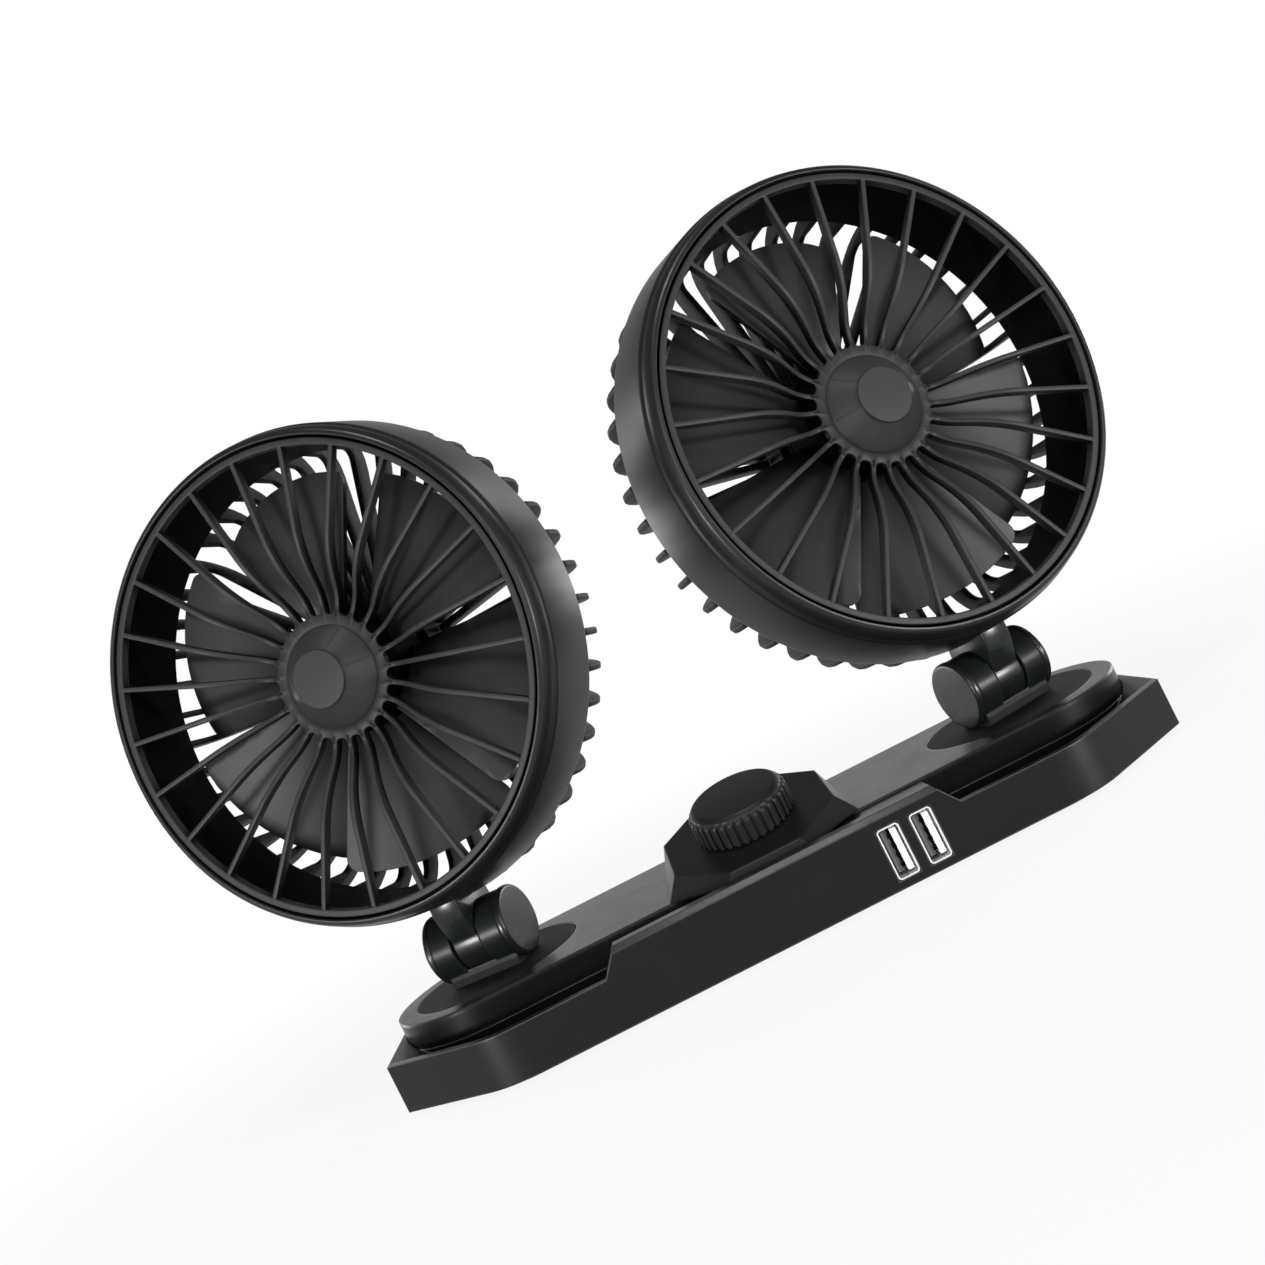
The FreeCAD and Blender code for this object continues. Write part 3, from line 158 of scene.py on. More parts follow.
class Graph:
    """The node tree of one material or of the world."""

    def __init__(self, tree: bpy.types.NodeTree) -> None:
        """Start from an empty tree."""
        self.tree = tree
        tree.nodes.clear()

    def node(self, kind: str, settings: dict, inputs: dict, output: Union[int, str] = 0) -> Signal:
        """Add a node, with its settings first and then its sockets.

        Args:
            kind: Blender's name of the node type.
            settings: Properties of the node.
            inputs: Values or signals by socket name or number.
            output: The output socket to return.

        Returns:
            The chosen output as a signal.
        """
        made = self.tree.nodes.new(kind)
        for name, value in settings.items():
            setattr(made, name, value)
        for key, value in inputs.items():
            if isinstance(value, Signal):
                self.tree.links.new(value.socket, made.inputs[key])
            else:
                made.inputs[key].default_value = value
        return Signal(self, made.outputs[output] if len(made.outputs) else None)

    def mix(self, factor: Value, first: Union[Signal, Colour], second: Union[Signal, Colour]) -> Signal:
        """Blend two colours: the first where the factor is nought, the second where it is one."""
        ends = [c if isinstance(c, Signal) else (*c, 1.0) for c in (first, second)]
        return self.node("ShaderNodeMix", {"data_type": "RGBA"}, {0: factor, 6: ends[0], 7: ends[1]}, 2)

    def noise(self, size: float, stretch: Sequence[float] = (1.0, 1.0, 1.0)) -> Signal:
        """Cloudy noise fixed to the piece.

        Args:
            size: Width of a cloud in millimetres.
            stretch: Scale of the pattern along X, Y and Z.

        Returns:
            Noise between nought and one.
        """
        place = self.node("ShaderNodeTexCoord", {}, {}, "Object")
        place = self.node("ShaderNodeMapping", {}, {"Vector": place, "Scale": stretch})
        inputs = {"Vector": place, "Scale": 1.0 / (size * MM), "Detail": NOISE_DETAIL}
        return self.node("ShaderNodeTexNoise", {"noise_dimensions": "3D"}, inputs)


@dataclass(frozen=True)
class Zone:
    """The part of a piece beyond a level, where it is rougher and can be darker, a painted shade.

    Attributes:
        axis: Axis along which the level is measured.
        level: Height of the level in millimetres.
        below: Whether the zone lies below the level.
        rough: How much rougher the zone is.
        keep: Share of the colour that the zone keeps under its painted shade.
    """

    axis: str
    level: float
    below: bool
    rough: float
    keep: float

    def mask(self, graph: Graph) -> Signal:
        """Mark where the zone is.

        Args:
            graph: The node tree of the finish.

        Returns:
            One inside the zone and nought outside it.
        """
        place = graph.node("ShaderNodeTexCoord", {}, {}, "Object")
        height = graph.node("ShaderNodeSeparateXYZ", {}, {"Vector": place}, self.axis)
        above = height > self.level * MM
        return 1.0 - above if self.below else above


@dataclass(frozen=True)
class Finish:
    """A moulded or metal surface: colour, gloss, grain, a painted highlight along its edges and, where set,
    painted shade in its hollows.

    Attributes:
        name: Name of the material.
        slot: Slot of the record that the finish belongs to; not used.
        colour: Base colour, linear.
        roughness: Middle roughness.
        metallic: One for bare metal.
        grain: Width of the surface grain in millimetres.
        relief: Height of the grain in millimetres.
        mottle: How far the roughness wanders.
        edge: Radius of the softened edges in millimetres.
        painted_edge_highlight: How much lighter the edges are painted, a painted highlight.
        specular: Level of the plain gloss.
        zone: Part of the piece that is duller, or darker with painted shade, if any.
        painted_shade_reach: Reach in millimetres of the painted shade that darkens hollows; nought for
            none.
        painted_shade_power: How steeply that painted shade deepens in the hollows.
        stretch: Scale of the grain along X, Y and Z.
    """

    name: str
    slot: str
    colour: Colour
    roughness: float
    metallic: float = 0.0
    grain: float = 0.35
    relief: float = 0.01
    mottle: float = 0.1
    edge: float = 0.35
    painted_edge_highlight: float = 0.03
    specular: float = 0.25
    zone: Optional[Zone] = None
    painted_shade_reach: float = 0.0
    painted_shade_power: float = 2.0
    stretch: Triple = (1.0, 1.0, 1.0)

    def material(self) -> bpy.types.Material:
        """Give the material, made on first use.

        Returns:
            The Blender material.
        """
        found = bpy.data.materials.get(self.name)
        if found:
            return found
        made = bpy.data.materials.new(self.name)
        made.use_nodes = True
        self._wire(Graph(made.node_tree))
        return made

    def _scaled(self, share: float) -> Colour:
        """The base colour, lighter or darker."""
        return tuple(channel * share for channel in self.colour)

    def _wire(self, graph: Graph) -> None:
        """Fill the node tree.

        Args:
            graph: The material's empty node tree.
        """
        grain = graph.noise(self.grain, self.stretch)
        cloud = graph.noise(CLOUD_WIDTH)
        soft = graph.node("ShaderNodeBevel", {"samples": 6}, {"Radius": self.edge * MM})
        true = graph.node("ShaderNodeNewGeometry", {}, {}, "True Normal")
        ends = {0: soft, 1: true}
        turn = graph.node("ShaderNodeVectorMath", {"operation": "DOT_PRODUCT"}, ends, "Value")
        # Painted highlight: the colour is lightened where the softened normal turns from the true one,
        # along every edge.
        edge = ((1.0 - turn) * EDGE_HIGHLIGHT_GAIN).at_most(1.0)
        light = tuple(channel + self.painted_edge_highlight for channel in self.colour)
        tint = graph.mix(cloud * CLOUD_SHARE, self.colour, self._scaled(CLOUD_TINT))
        colour = graph.mix(edge, tint, light)
        rough = self.roughness + (cloud - 0.5) * self.mottle
        rough = (rough + (grain - 0.5) * (self.mottle * GRAIN_SHARE)).at_least(LEAST_ROUGH)
        # Painted shade: the colour is darkened in hollows by ambient occlusion.
        if self.painted_shade_reach:
            reach = {"Distance": self.painted_shade_reach * MM}
            open_air = graph.node("ShaderNodeAmbientOcclusion", {"samples": 8}, reach, "AO")
            colour = graph.mix(open_air**self.painted_shade_power, self._scaled(HOLLOW_SHADE), colour)
        metal: Value = self.metallic
        # Painted shade: inside the zone the colour is darkened to its kept share and the metal is turned
        # off.
        if self.zone:
            inside = self.zone.mask(graph)
            metal = (1.0 - inside) * self.metallic if self.metallic else 0.0
            rough = rough + inside * self.zone.rough
            colour = graph.mix(inside, colour, self._scaled(self.zone.keep))
        bump = graph.node(
            "ShaderNodeBump",
            {},
            {"Strength": BUMP_STRENGTH, "Distance": self.relief * MM, "Height": grain, "Normal": soft},
        )
        shader = graph.node(
            "ShaderNodeBsdfPrincipled",
            {},
            {
                "Base Color": colour,
                "Metallic": metal,
                "Roughness": rough,
                "Specular IOR Level": self.specular,
                "Normal": bump,
            },
        )
        graph.node("ShaderNodeOutputMaterial", {}, {"Surface": shader})


# Every finish paints a highlight along its edges; the guard's fins and the base carry the strongest.
BLACK = Finish("satin_black", "black_plastic", (0.008, 0.008, 0.0082), 0.35, specular=0.22)
# The grille darkens its slots and the sides of its spokes with painted shade.
GRILLE = Finish(
    "grille_black", "black_plastic", (0.022, 0.022, 0.022), 0.45, specular=0.12, painted_shade_reach=14.0, painted_shade_power=4.0
)
# A near-black copy of the black plastic: painted shade for the duct, the wheel's hub and the socket
# contacts.
PAINTED_SHADE_BLACK = Finish("painted_shade_black", "black_plastic", (0.0012, 0.0012, 0.0012), 0.6, specular=0.02)
GUARD = Finish(
    "guard_black", "black_plastic", (0.004, 0.004, 0.004), 0.5, edge=0.9, painted_edge_highlight=0.13, specular=0.08
)
BASE_BLACK = Finish(
    "base_black", "black_plastic", (0.003, 0.003, 0.0034), 0.33, edge=0.6, painted_edge_highlight=0.12, specular=0.2
)
PLATFORM = Finish(
    "platform_gloss", "platform_plastic", (0.005, 0.005, 0.0055), 0.3, relief=0.003, edge=1.6, specular=0.1
)
HINGE = Finish(
    "hinge_black", "hinge_plastic", (0.006, 0.0075, 0.007), 0.27, relief=0.004, mottle=0.06, edge=0.45
)
DISC = replace(
    HINGE,
    name="disc_black",
    roughness=0.3,
    specular=0.12,
    zone=Zone("Z", 21.0, below=True, rough=0.35, keep=1.0),
)
# The fan and the badge darken their hollows with painted shade.
FAN = Finish("fan_grey", "fan_plastic", (0.026, 0.026, 0.0255), 0.45, specular=0.2, painted_shade_reach=22.0)
BADGE = Finish(
    "badge_grey", "badge_plastic", (0.024, 0.024, 0.024), 0.5, grain=0.5, specular=0.12, painted_shade_reach=6.0
)
KNOB = Finish("knob_black", "knob_plastic", (0.007, 0.007, 0.0075), 0.45, edge=0.3, specular=0.2)
HOUSING = Finish(
    "panel_black", "black_plastic", (0.005, 0.005, 0.006), 0.4, edge=0.9, painted_edge_highlight=0.02, specular=0.15
)
WASHER = Finish("washer_white", "washer_plastic", (0.6, 0.6, 0.58), 0.4)
# Deep inside each socket's mouth the steel frame and the white tongue are painted nearly black, a painted
# shade.
SOCKET_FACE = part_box("usb_shell_inner")[0][1] / MM
STEEL = Finish(
    "socket_steel",
    "socket_steel",
    (0.11, 0.11, 0.112),
    0.35,
    metallic=1.0,
    relief=0.004,
    edge=0.1,
    specular=0.02,
    stretch=(1, 1, 9),
    zone=Zone("Y", SOCKET_FACE + 0.25, below=False, rough=0.4, keep=0.01),
)
WHITE = Finish(
    "socket_white",
    "socket_white",
    (0.75, 0.75, 0.75),
    0.4,
    edge=0.12,
    zone=Zone("Y", SOCKET_FACE + 1.35, below=False, rough=0.3, keep=0.01),
)
SPRING = Finish(
    "socket_spring", "contact_brass", (0.1, 0.1, 0.104), 0.5, edge=0.3, painted_edge_highlight=0.01, specular=0.1
)
BRASS = Finish("contact_brass", "contact_brass", (0.7, 0.5, 0.22), 0.3, metallic=1.0, edge=0.05)
BOARD = Finish("board_green", "board_green", (0.02, 0.11, 0.04), 0.45, grain=1.5, relief=0.03)
SCREW = Finish("screw_steel", "screw_steel", (0.4, 0.4, 0.41), 0.35, metallic=1.0, edge=0.2)
CAN = Finish("control_steel", "control_steel", (0.55, 0.55, 0.57), 0.32, metallic=1.0, stretch=(1, 6, 1))
IRON = Finish("rotor_iron", "rotor_iron", (0.14, 0.14, 0.15), 0.55, metallic=1.0, grain=0.8, relief=0.05)
RUBBER = Finish("grip_rubber", "grip_rubber", (0.008, 0.008, 0.008), 0.8, grain=0.6, relief=0.05)

NODE_FINISHES = {
    "base_tray": BASE_BLACK,
    "beam_cover": PLATFORM,
    "bottom_plate": BLACK,
    "grip_pad": RUBBER,
    "base_screws": SCREW,
    "control_housing": HOUSING,
    "rotary_control": CAN,
    "usb_shell_inner": STEEL,
    "usb_shell_outer": STEEL,
    "usb_tongue_inner": WHITE,
    "usb_tongue_outer": WHITE,
    "usb_contacts": BRASS,
    "circuit_board": BOARD,
    "cable_inlet": RUBBER,
    "speed_knob": KNOB,
    "control_shaft": CAN,
}
SIDE_FINISHES = {
    "turntable": DISC,
    "retaining_washer": SCREW,
    "retaining_screw": SCREW,
    "hinge_bolt": SCREW,
    "hinge_nut": SCREW,
    "hinge_caps": HINGE,
    "friction_washers": WASHER,
    "neck": HINGE,
    "neck_screws": SCREW,
    "shroud": BLACK,
    "grille": GRILLE,
    "hub_badge": BADGE,
    "rear_guard": GUARD,
    "motor_can": CAN,
    "motor_bushes": BRASS,
    "impeller": FAN,
    "motor_shaft": SCREW,
    "motor_rotor": IRON,
}


def dress_nodes() -> None:
    """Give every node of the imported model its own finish."""
    finishes = dict(NODE_FINISHES)
    for side in Side:
        finishes.update({f"{side.value}_{name}": finish for name, finish in SIDE_FINISHES.items()})
    for name, finish in finishes.items():
        piece = frame["nodes"][name]
        piece.data.materials.clear()
        piece.data.materials.append(finish.material())
        log.info("dressed %s", name)


class Shape:
    """A mesh in the making, in millimetres in its own frame, turned about Y."""

    def __init__(self) -> None:
        """Start empty."""
        self.mesh = bmesh.new()

    def take(self, part: bmesh.types.BMesh, turn: Matrix = Matrix()) -> None:
        """Add another mesh, which is used up.

        Args:
            part: The mesh to add.
            turn: Where it goes in this shape's frame.
        """
        bmesh.ops.transform(part, matrix=turn, verts=part.verts[:])
        held = bpy.data.meshes.new("held")
        part.to_mesh(held)
        part.free()
        self.mesh.from_mesh(held)
        bpy.data.meshes.remove(held)

    @staticmethod
    def face(part: bmesh.types.BMesh, outline: Sequence[Corner]) -> None:
        """Draw one flat face in the XY plane.

        Args:
            part: The mesh to draw in.
            outline: Corners, each with the length of its rounding where it has one.
        """
        corners = [part.verts.new((corner[0], corner[1], 0.0)) for corner in outline]
        part.faces.new(corners)
        for vert, corner in zip(corners, outline):
            if len(corner) > 2:
                bmesh.ops.bevel(
                    part,
                    geom=[vert],
                    offset=corner[2],
                    offset_type="OFFSET",
                    segments=CORNER_STEPS,
                    profile=0.5,
                    affect="VERTICES",
                    material=-1,
                )

    @staticmethod
    def soften(part: bmesh.types.BMesh, edges: list, width: float) -> None:
        """Round some edges.

        Args:
            part: The mesh.
            edges: Its edges to round.
            width: Width of the rounding.
        """
        bmesh.ops.bevel(
            part,
            geom=edges,
            offset=width,
            offset_type="OFFSET",
            segments=EDGE_STEPS,
            profile=0.5,
            affect="EDGES",
            clamp_overlap=True,
            material=-1,
        )

    @staticmethod
    def sharp(part: bmesh.types.BMesh, degrees: float = SHARP_ANGLE) -> list:
        """The edges where two faces meet at more than an angle."""
        limit = math.radians(degrees)
        return [edge for edge in part.edges if len(edge.link_faces) == 2 and edge.calc_face_angle() > limit]

    @staticmethod
    def grow(part: bmesh.types.BMesh, way: Triple) -> None:
        """Thicken a flat mesh into a solid.

        Args:
            part: The mesh.
            way: Where its far side lies from the near one.
        """
        grown = bmesh.ops.extrude_face_region(part, geom=part.faces[:])["geom"]
        moved = [item for item in grown if isinstance(item, bmesh.types.BMVert)]
        bmesh.ops.translate(part, verts=moved, vec=way)
        bmesh.ops.recalc_face_normals(part, faces=part.faces[:])

    @staticmethod
    def around(part: bmesh.types.BMesh, count: int) -> None:
        """Repeat a mesh about Y, evenly spaced.

        Args:
            part: The mesh.
            count: How many there are in the end.
        """
        bmesh.ops.spin(
            part,
            geom=part.verts[:] + part.edges[:] + part.faces[:],
            cent=(0.0, 0.0, 0.0),
            axis=(0.0, 1.0, 0.0),
            dvec=(0.0, 0.0, 0.0),
            angle=TAU * (count - 1) / count,
            steps=count - 1,
            use_duplicate=True,
        )

    def turn(self, *outline: Corner, steps: int = STEPS, place: Matrix = Matrix()) -> None:
        """Turn an outline of radius and depth about Y.

        Args:
            outline: Corners as radius, depth and rounding; one on the axis closes the end.
            steps: Faces round the turn.
            place: Where the turned body goes in this shape's frame.
        """
        part = bmesh.new()
        self.face(part, outline)
        bmesh.ops.delete(part, geom=part.faces[:], context="FACES_ONLY")
        axis = [edge for edge in part.edges if all(abs(vert.co.x) < NEAR for vert in edge.verts)]
        bmesh.ops.delete(part, geom=axis, context="EDGES")
        bmesh.ops.spin(
            part,
            geom=part.verts[:] + part.edges[:],
            cent=(0.0, 0.0, 0.0),
            axis=(0.0, 1.0, 0.0),
            dvec=(0.0, 0.0, 0.0),
            angle=TAU,
            steps=steps,
            use_merge=True,
        )
        bmesh.ops.remove_doubles(part, verts=part.verts[:], dist=NEAR)
        self.take(part, place)

    def plates(
        self, *outline: Corner, thickness: float, edge: float, count: int = 1, place: Matrix = Matrix()
    ) -> None:
        """Add flat plates with rounded edges, standing in the XY plane and repeated about Y.

        Args:
            outline: Corners of the plate.
            thickness: Thickness along Z, half to each side.
            edge: Width of the rounded edges.
            count: How many plates stand round the axis.
            place: Where the first plate goes before it is repeated.
        """
        part = bmesh.new()
        self.face(part, outline)
        bmesh.ops.translate(part, verts=part.verts[:], vec=(0.0, 0.0, -thickness / 2.0))
        self.grow(part, (0.0, 0.0, thickness))
        level = [item for item in part.edges if abs(item.verts[0].co.z - item.verts[1].co.z) < NEAR]
        self.soften(part, level, edge)
        bmesh.ops.transform(part, matrix=place, verts=part.verts[:])
        if count > 1:
            self.around(part, count)
        self.take(part)

    def piece(self, name: str, place: Matrix, finish: Finish, body: str, nodes: Sequence[str]) -> None:
        """Make the finished object at the origin, riding on a body in place of CAD nodes.

        Args:
            name: Name of the piece.
            place: From this shape's millimetres to the model's metres.
            finish: Its surface.
            body: The moving body that carries it.
            nodes: The CAD nodes that it stands for.
        """
        bmesh.ops.transform(self.mesh, matrix=place, verts=self.mesh.verts[:])
        bmesh.ops.recalc_face_normals(self.mesh, faces=self.mesh.faces[:])
        data = bpy.data.meshes.new(name)
        self.mesh.to_mesh(data)
        self.mesh.free()
        data.shade_smooth()
        data.set_sharp_from_angle(angle=math.radians(SMOOTH_ANGLE))
        data.materials.append(finish.material())
        made = bpy.data.objects.new(name, data)
        bpy.context.scene.collection.objects.link(made)
        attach(made, body)
        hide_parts(*nodes)
        log.info("built %s with %d faces", name, len(data.polygons))


def joint(name: str) -> dict:
    """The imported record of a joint."""
    return next(item for item in frame["joints"] if item["name"] == name)


def along(origin: Vector, back: Vector) -> Matrix:
    """A frame in millimetres at a point, with Y along a direction and X level.

    Args:
        origin: The point, in metres.
        back: Direction of Y.

    Returns:
        From the frame's millimetres to the model's metres.
    """
    back = back.normalized()
    right = back.cross(Vector((0.0, 0.0, 1.0))).normalized()
    axes = Matrix((right, back, right.cross(back))).transposed().to_4x4()
    return Matrix.Translation(origin) @ axes @ Matrix.Scale(MM, 4)


def mirrored(side: Side, place: Matrix) -> Matrix:
    """A left-hand frame as it is, or its mirror image for the right."""
    return place if side is Side.LEFT else Matrix.Scale(-1.0, 4, (1.0, 0.0, 0.0)) @ place


def head_frame(side: Side) -> Matrix:
    """A head's frame, from the middle of its ring's face, with Y towards the back."""
    spin = joint("left_spin")
    return mirrored(side, along(Vector(spin["pos_m"]), -Vector(spin["axis"])))


@dataclass
class Head:
    """Ring, shroud, front grille, hub button and rear guard of one head, in the head's frame.

    Attributes:
        mouth: Radius of the ring's opening.
        ring: Radius of the front ring.
        swell: Radius of the shroud.
        depth: Depth of the shroud.
        wall: Thickness of the shroud's wall.
        rebate: Width and length of the step at the shroud's back that takes the guard.
        rim: Inner and outer radius of the grille's rim.
        rim_span: Front and back of the grille's rim.
        spokes: How many spokes the grille has.
        spoke: Width of a spoke.
        spoke_depth: Depth of a spoke at the hub.
        bends: Radii where a spoke leaves the hub's level and where it nears the rim's.
        hub: Inner and outer radius of the grille's hub.
        hub_front: Depth of the hub's face.
        hub_plate: Thickness of the hub.
        scallop: How far the hub reaches out along a spoke, and the rounding between spokes.
        button: Radius of the hub button.
        button_rise: How far the button stands before the hub.
        creases: How many creases the button's cone has.
        crease: Width of a crease.
        duct: Inner and outer radius of the air duct.
        duct_front: Depth at which the duct starts.
        flange: How far the guard's flange ends inside the shroud's radius, and its thickness.
        fins: How many fins the guard has.
        fin: Thickness of a fin.
        fin_reach: How far the fins stand behind the shroud.
        fin_depth: Depth of a fin where it runs to the motor cup.
        cup: Inner and outer radius of the motor cup.
        cup_span: Front edge, floor and back of the motor cup.
    """

    mouth: float = 64.2
    ring: float = 67.0
    swell: float = 69.2
    depth: float = 24.5
    wall: float = 2.2
    rebate: Pair = (2.7, 4.4)
    rim: Pair = (61.6, 63.6)
    rim_span: Pair = (0.5, 3.3)
    spokes: int = 25
    spoke: float = 1.4
    spoke_depth: float = 3.0
    bends: Pair = (21.5, 34.0)
    hub: Pair = (13.8, 17.0)
    hub_front: float = 9.4
    hub_plate: float = 2.0
    scallop: Pair = (2.6, 1.1)
    button: float = 7.9
    button_rise: float = 6.8
    creases: int = 7
    crease: float = 0.35
    duct: Pair = (62.0, 64.0)
    duct_front: float = 3.5
    flange: Pair = (2.9, 2.2)
    fins: int = 45
    fin: float = 1.8
    fin_reach: float = 18.0
    fin_depth: float = 6.4
    cup: Pair = (16.4, 19.0)
    cup_span: Triple = (33.0, 48.0, 50.0)

    def build(self, side: Side) -> None:
        """Make the pieces of one head.

        Args:
            side: Which head.
        """
        place = head_frame(side)
        body = f"{side.value}_head"
        for shape, name, finish in (
            (self._shroud(), "shroud", BLACK),
            (self._grille(), "grille", GRILLE),
            (self._button(), "hub_badge", BADGE),
            # The duct is painted near-black, a painted shade.
            (self._duct(), "rear_guard", PAINTED_SHADE_BLACK),
            (self._fins(), "rear_guard", GUARD),
        ):
            node = f"{side.value}_{name}"
            shape.piece(f"{node}_{finish.name}", place, finish, body, [node])

    def _shroud(self) -> Shape:
        """Turn the shroud: a rounded ring, a smooth flare and a rounded back edge.

        Returns:
            The shroud.
        """
        shape = Shape()
        step, length = self.rebate
        shape.turn(
            (self.mouth, 0.0, 0.25), (self.ring - 1.5, 0.0, 0.9), (self.ring, 3.0, 1.6),
            (self.ring - 0.1, 4.2, 0.3), (self.ring + 0.6, 5.2, 0.6),
            (self.swell, self.depth - 1.2, 0.6), (self.swell - 1.0, self.depth, 0.5),
            (self.swell - step, self.depth), (self.swell - step, self.depth - length),
            (self.swell - self.wall, 12.5), (self.ring - self.wall, 6.0), (self.mouth, 3.0),
            steps=STEPS_LARGE,
        )
        return shape

    def _grille(self) -> Shape:
        """Make the rim, the dipping spokes with rounded edges, and the hub.

        Returns:
            The grille.
        """
        shape = Shape()
        inner, outer = self.rim
        front, back = self.rim_span
        shape.turn(
            (inner, front, 0.4), (outer, front, 0.4), (outer, back), (inner, back, 0.4),
            steps=STEPS_LARGE,
        )
        middle = (inner + outer) / 2.0
        foot = self.hub[1] - 0.6
        foot_back = self.hub_front + self.spoke_depth
        leave, arrive = self.bends
        shape.plates(
            (foot, self.hub_front), (leave, self.hub_front, 3.0), (arrive, 2.0, 6.0),
            (middle, front + 0.05), (middle, back - 0.1), (arrive, 5.4, 6.0),
            (leave, foot_back, 3.0), (foot, foot_back),
            thickness=self.spoke, edge=0.3, count=self.spokes,
        )
        self._hub(shape)
        return shape

    def _hub(self, shape: Shape) -> None:
        """Add the hub plate, scalloped between the spokes.

        Args:
            shape: The grille so far.
        """
        half = math.pi / self.spokes
        bore, slot = self.hub
        reach, rounding = self.scallop
        side = self.spoke / 2.0
        edge = [
            (slot * math.cos(half), slot * math.sin(half)),
            (slot, side + 0.05, rounding),
            (slot + reach, side),
        ]
        below = [(corner[0], -corner[1], *corner[2:]) for corner in reversed(edge)]
        angles = [half * step for step in (-1.0, -0.5, 0.0, 0.5, 1.0)]
        arc = [(bore * math.cos(angle), bore * math.sin(angle)) for angle in angles]
        part = bmesh.new()
        Shape.face(part, [*edge, *below, *arc])
        place = Matrix.Translation((0.0, self.hub_front, 0.0)) @ FACING
        bmesh.ops.transform(part, matrix=place, verts=part.verts[:])
        Shape.around(part, self.spokes)
        bmesh.ops.remove_doubles(part, verts=part.verts[:], dist=SEAM)
        bmesh.ops.recalc_face_normals(part, faces=part.faces[:])
        Shape.grow(part, (0.0, self.hub_plate, 0.0))
        front = [
            item
            for item in Shape.sharp(part)
            if all(abs(vert.co.y - self.hub_front) < NEAR for vert in item.verts)
        ]
        Shape.soften(part, front, 0.3)
        shape.take(part)

    def _button(self) -> Shape:
        """Make the bare button on its cone, with a few faint creases down the cone.

        Returns:
            The hub button.
        """
        shape = Shape()
        edge = self.hub[0] + 0.3
        front = self.hub_front - self.button_rise
        seat = self.hub_front + 1.6
        shape.turn(
            (0.0, front), (self.button, front, 0.3), (self.button, front + 0.8, 0.25),
            (edge, self.hub_front - 0.08, 0.3), (edge, seat), (0.0, seat),
            steps=STEPS_SMALL,
        )
        inside, outside, sunk = self.button - 0.3, edge - 0.6, self.hub_front + 1.0
        shape.plates(
            (inside, front + 0.9), (self.button + 0.15, front + 0.85),
            (outside, self.hub_front - 0.78), (outside, sunk), (inside, sunk),
            thickness=self.crease, edge=0.1, count=self.creases,
        )
        return shape

    def _flange(self) -> Pair:
        """Radius of the guard's flange and the depth of its front."""
        inset, thickness = self.flange
        return self.swell - inset, self.depth - thickness

    def _duct(self) -> Shape:
        """Turn the air duct with its flange.

        Returns:
            The duct.
        """
        shape = Shape()
        inner, outer = self.duct
        flange, seat = self._flange()
        shape.turn(
            (inner, self.duct_front), (outer, self.duct_front), (outer, seat), (flange, seat),
            (flange, self.depth), (inner, self.depth, 0.5),
        )
        return shape

    def _fins(self) -> Shape:
        """Make the bowed fins with rounded edges, and the motor cup that they carry.

        Returns:
            The fins and the cup.
        """
        shape = Shape()
        flange, seat = self._flange()
        rim, inside = self.swell - 0.4, self.duct[0] + 0.5
        start, back = self.depth + 0.4, self.depth + self.fin_reach
        bore, skin = self.cup
        cup_front, cup_floor, cup_back = self.cup_span
        foot = (bore + skin) / 2.0
        shape.plates(
            (flange, seat), (flange, start), (rim, start, 0.5), (rim, back, 12.0),
            (foot, cup_floor), (foot, cup_floor - self.fin_depth),
            (inside, back - self.fin_depth, 3.0), (inside, seat),
            thickness=self.fin, edge=0.75, count=self.fins,
        )
        shape.turn(
            (0.0, cup_floor), (bore, cup_floor), (bore, cup_front), (skin, cup_front, 0.4),
            (skin, cup_back, 1.2), (0.0, cup_back),
            steps=STEPS_SMALL,
        )
        return shape


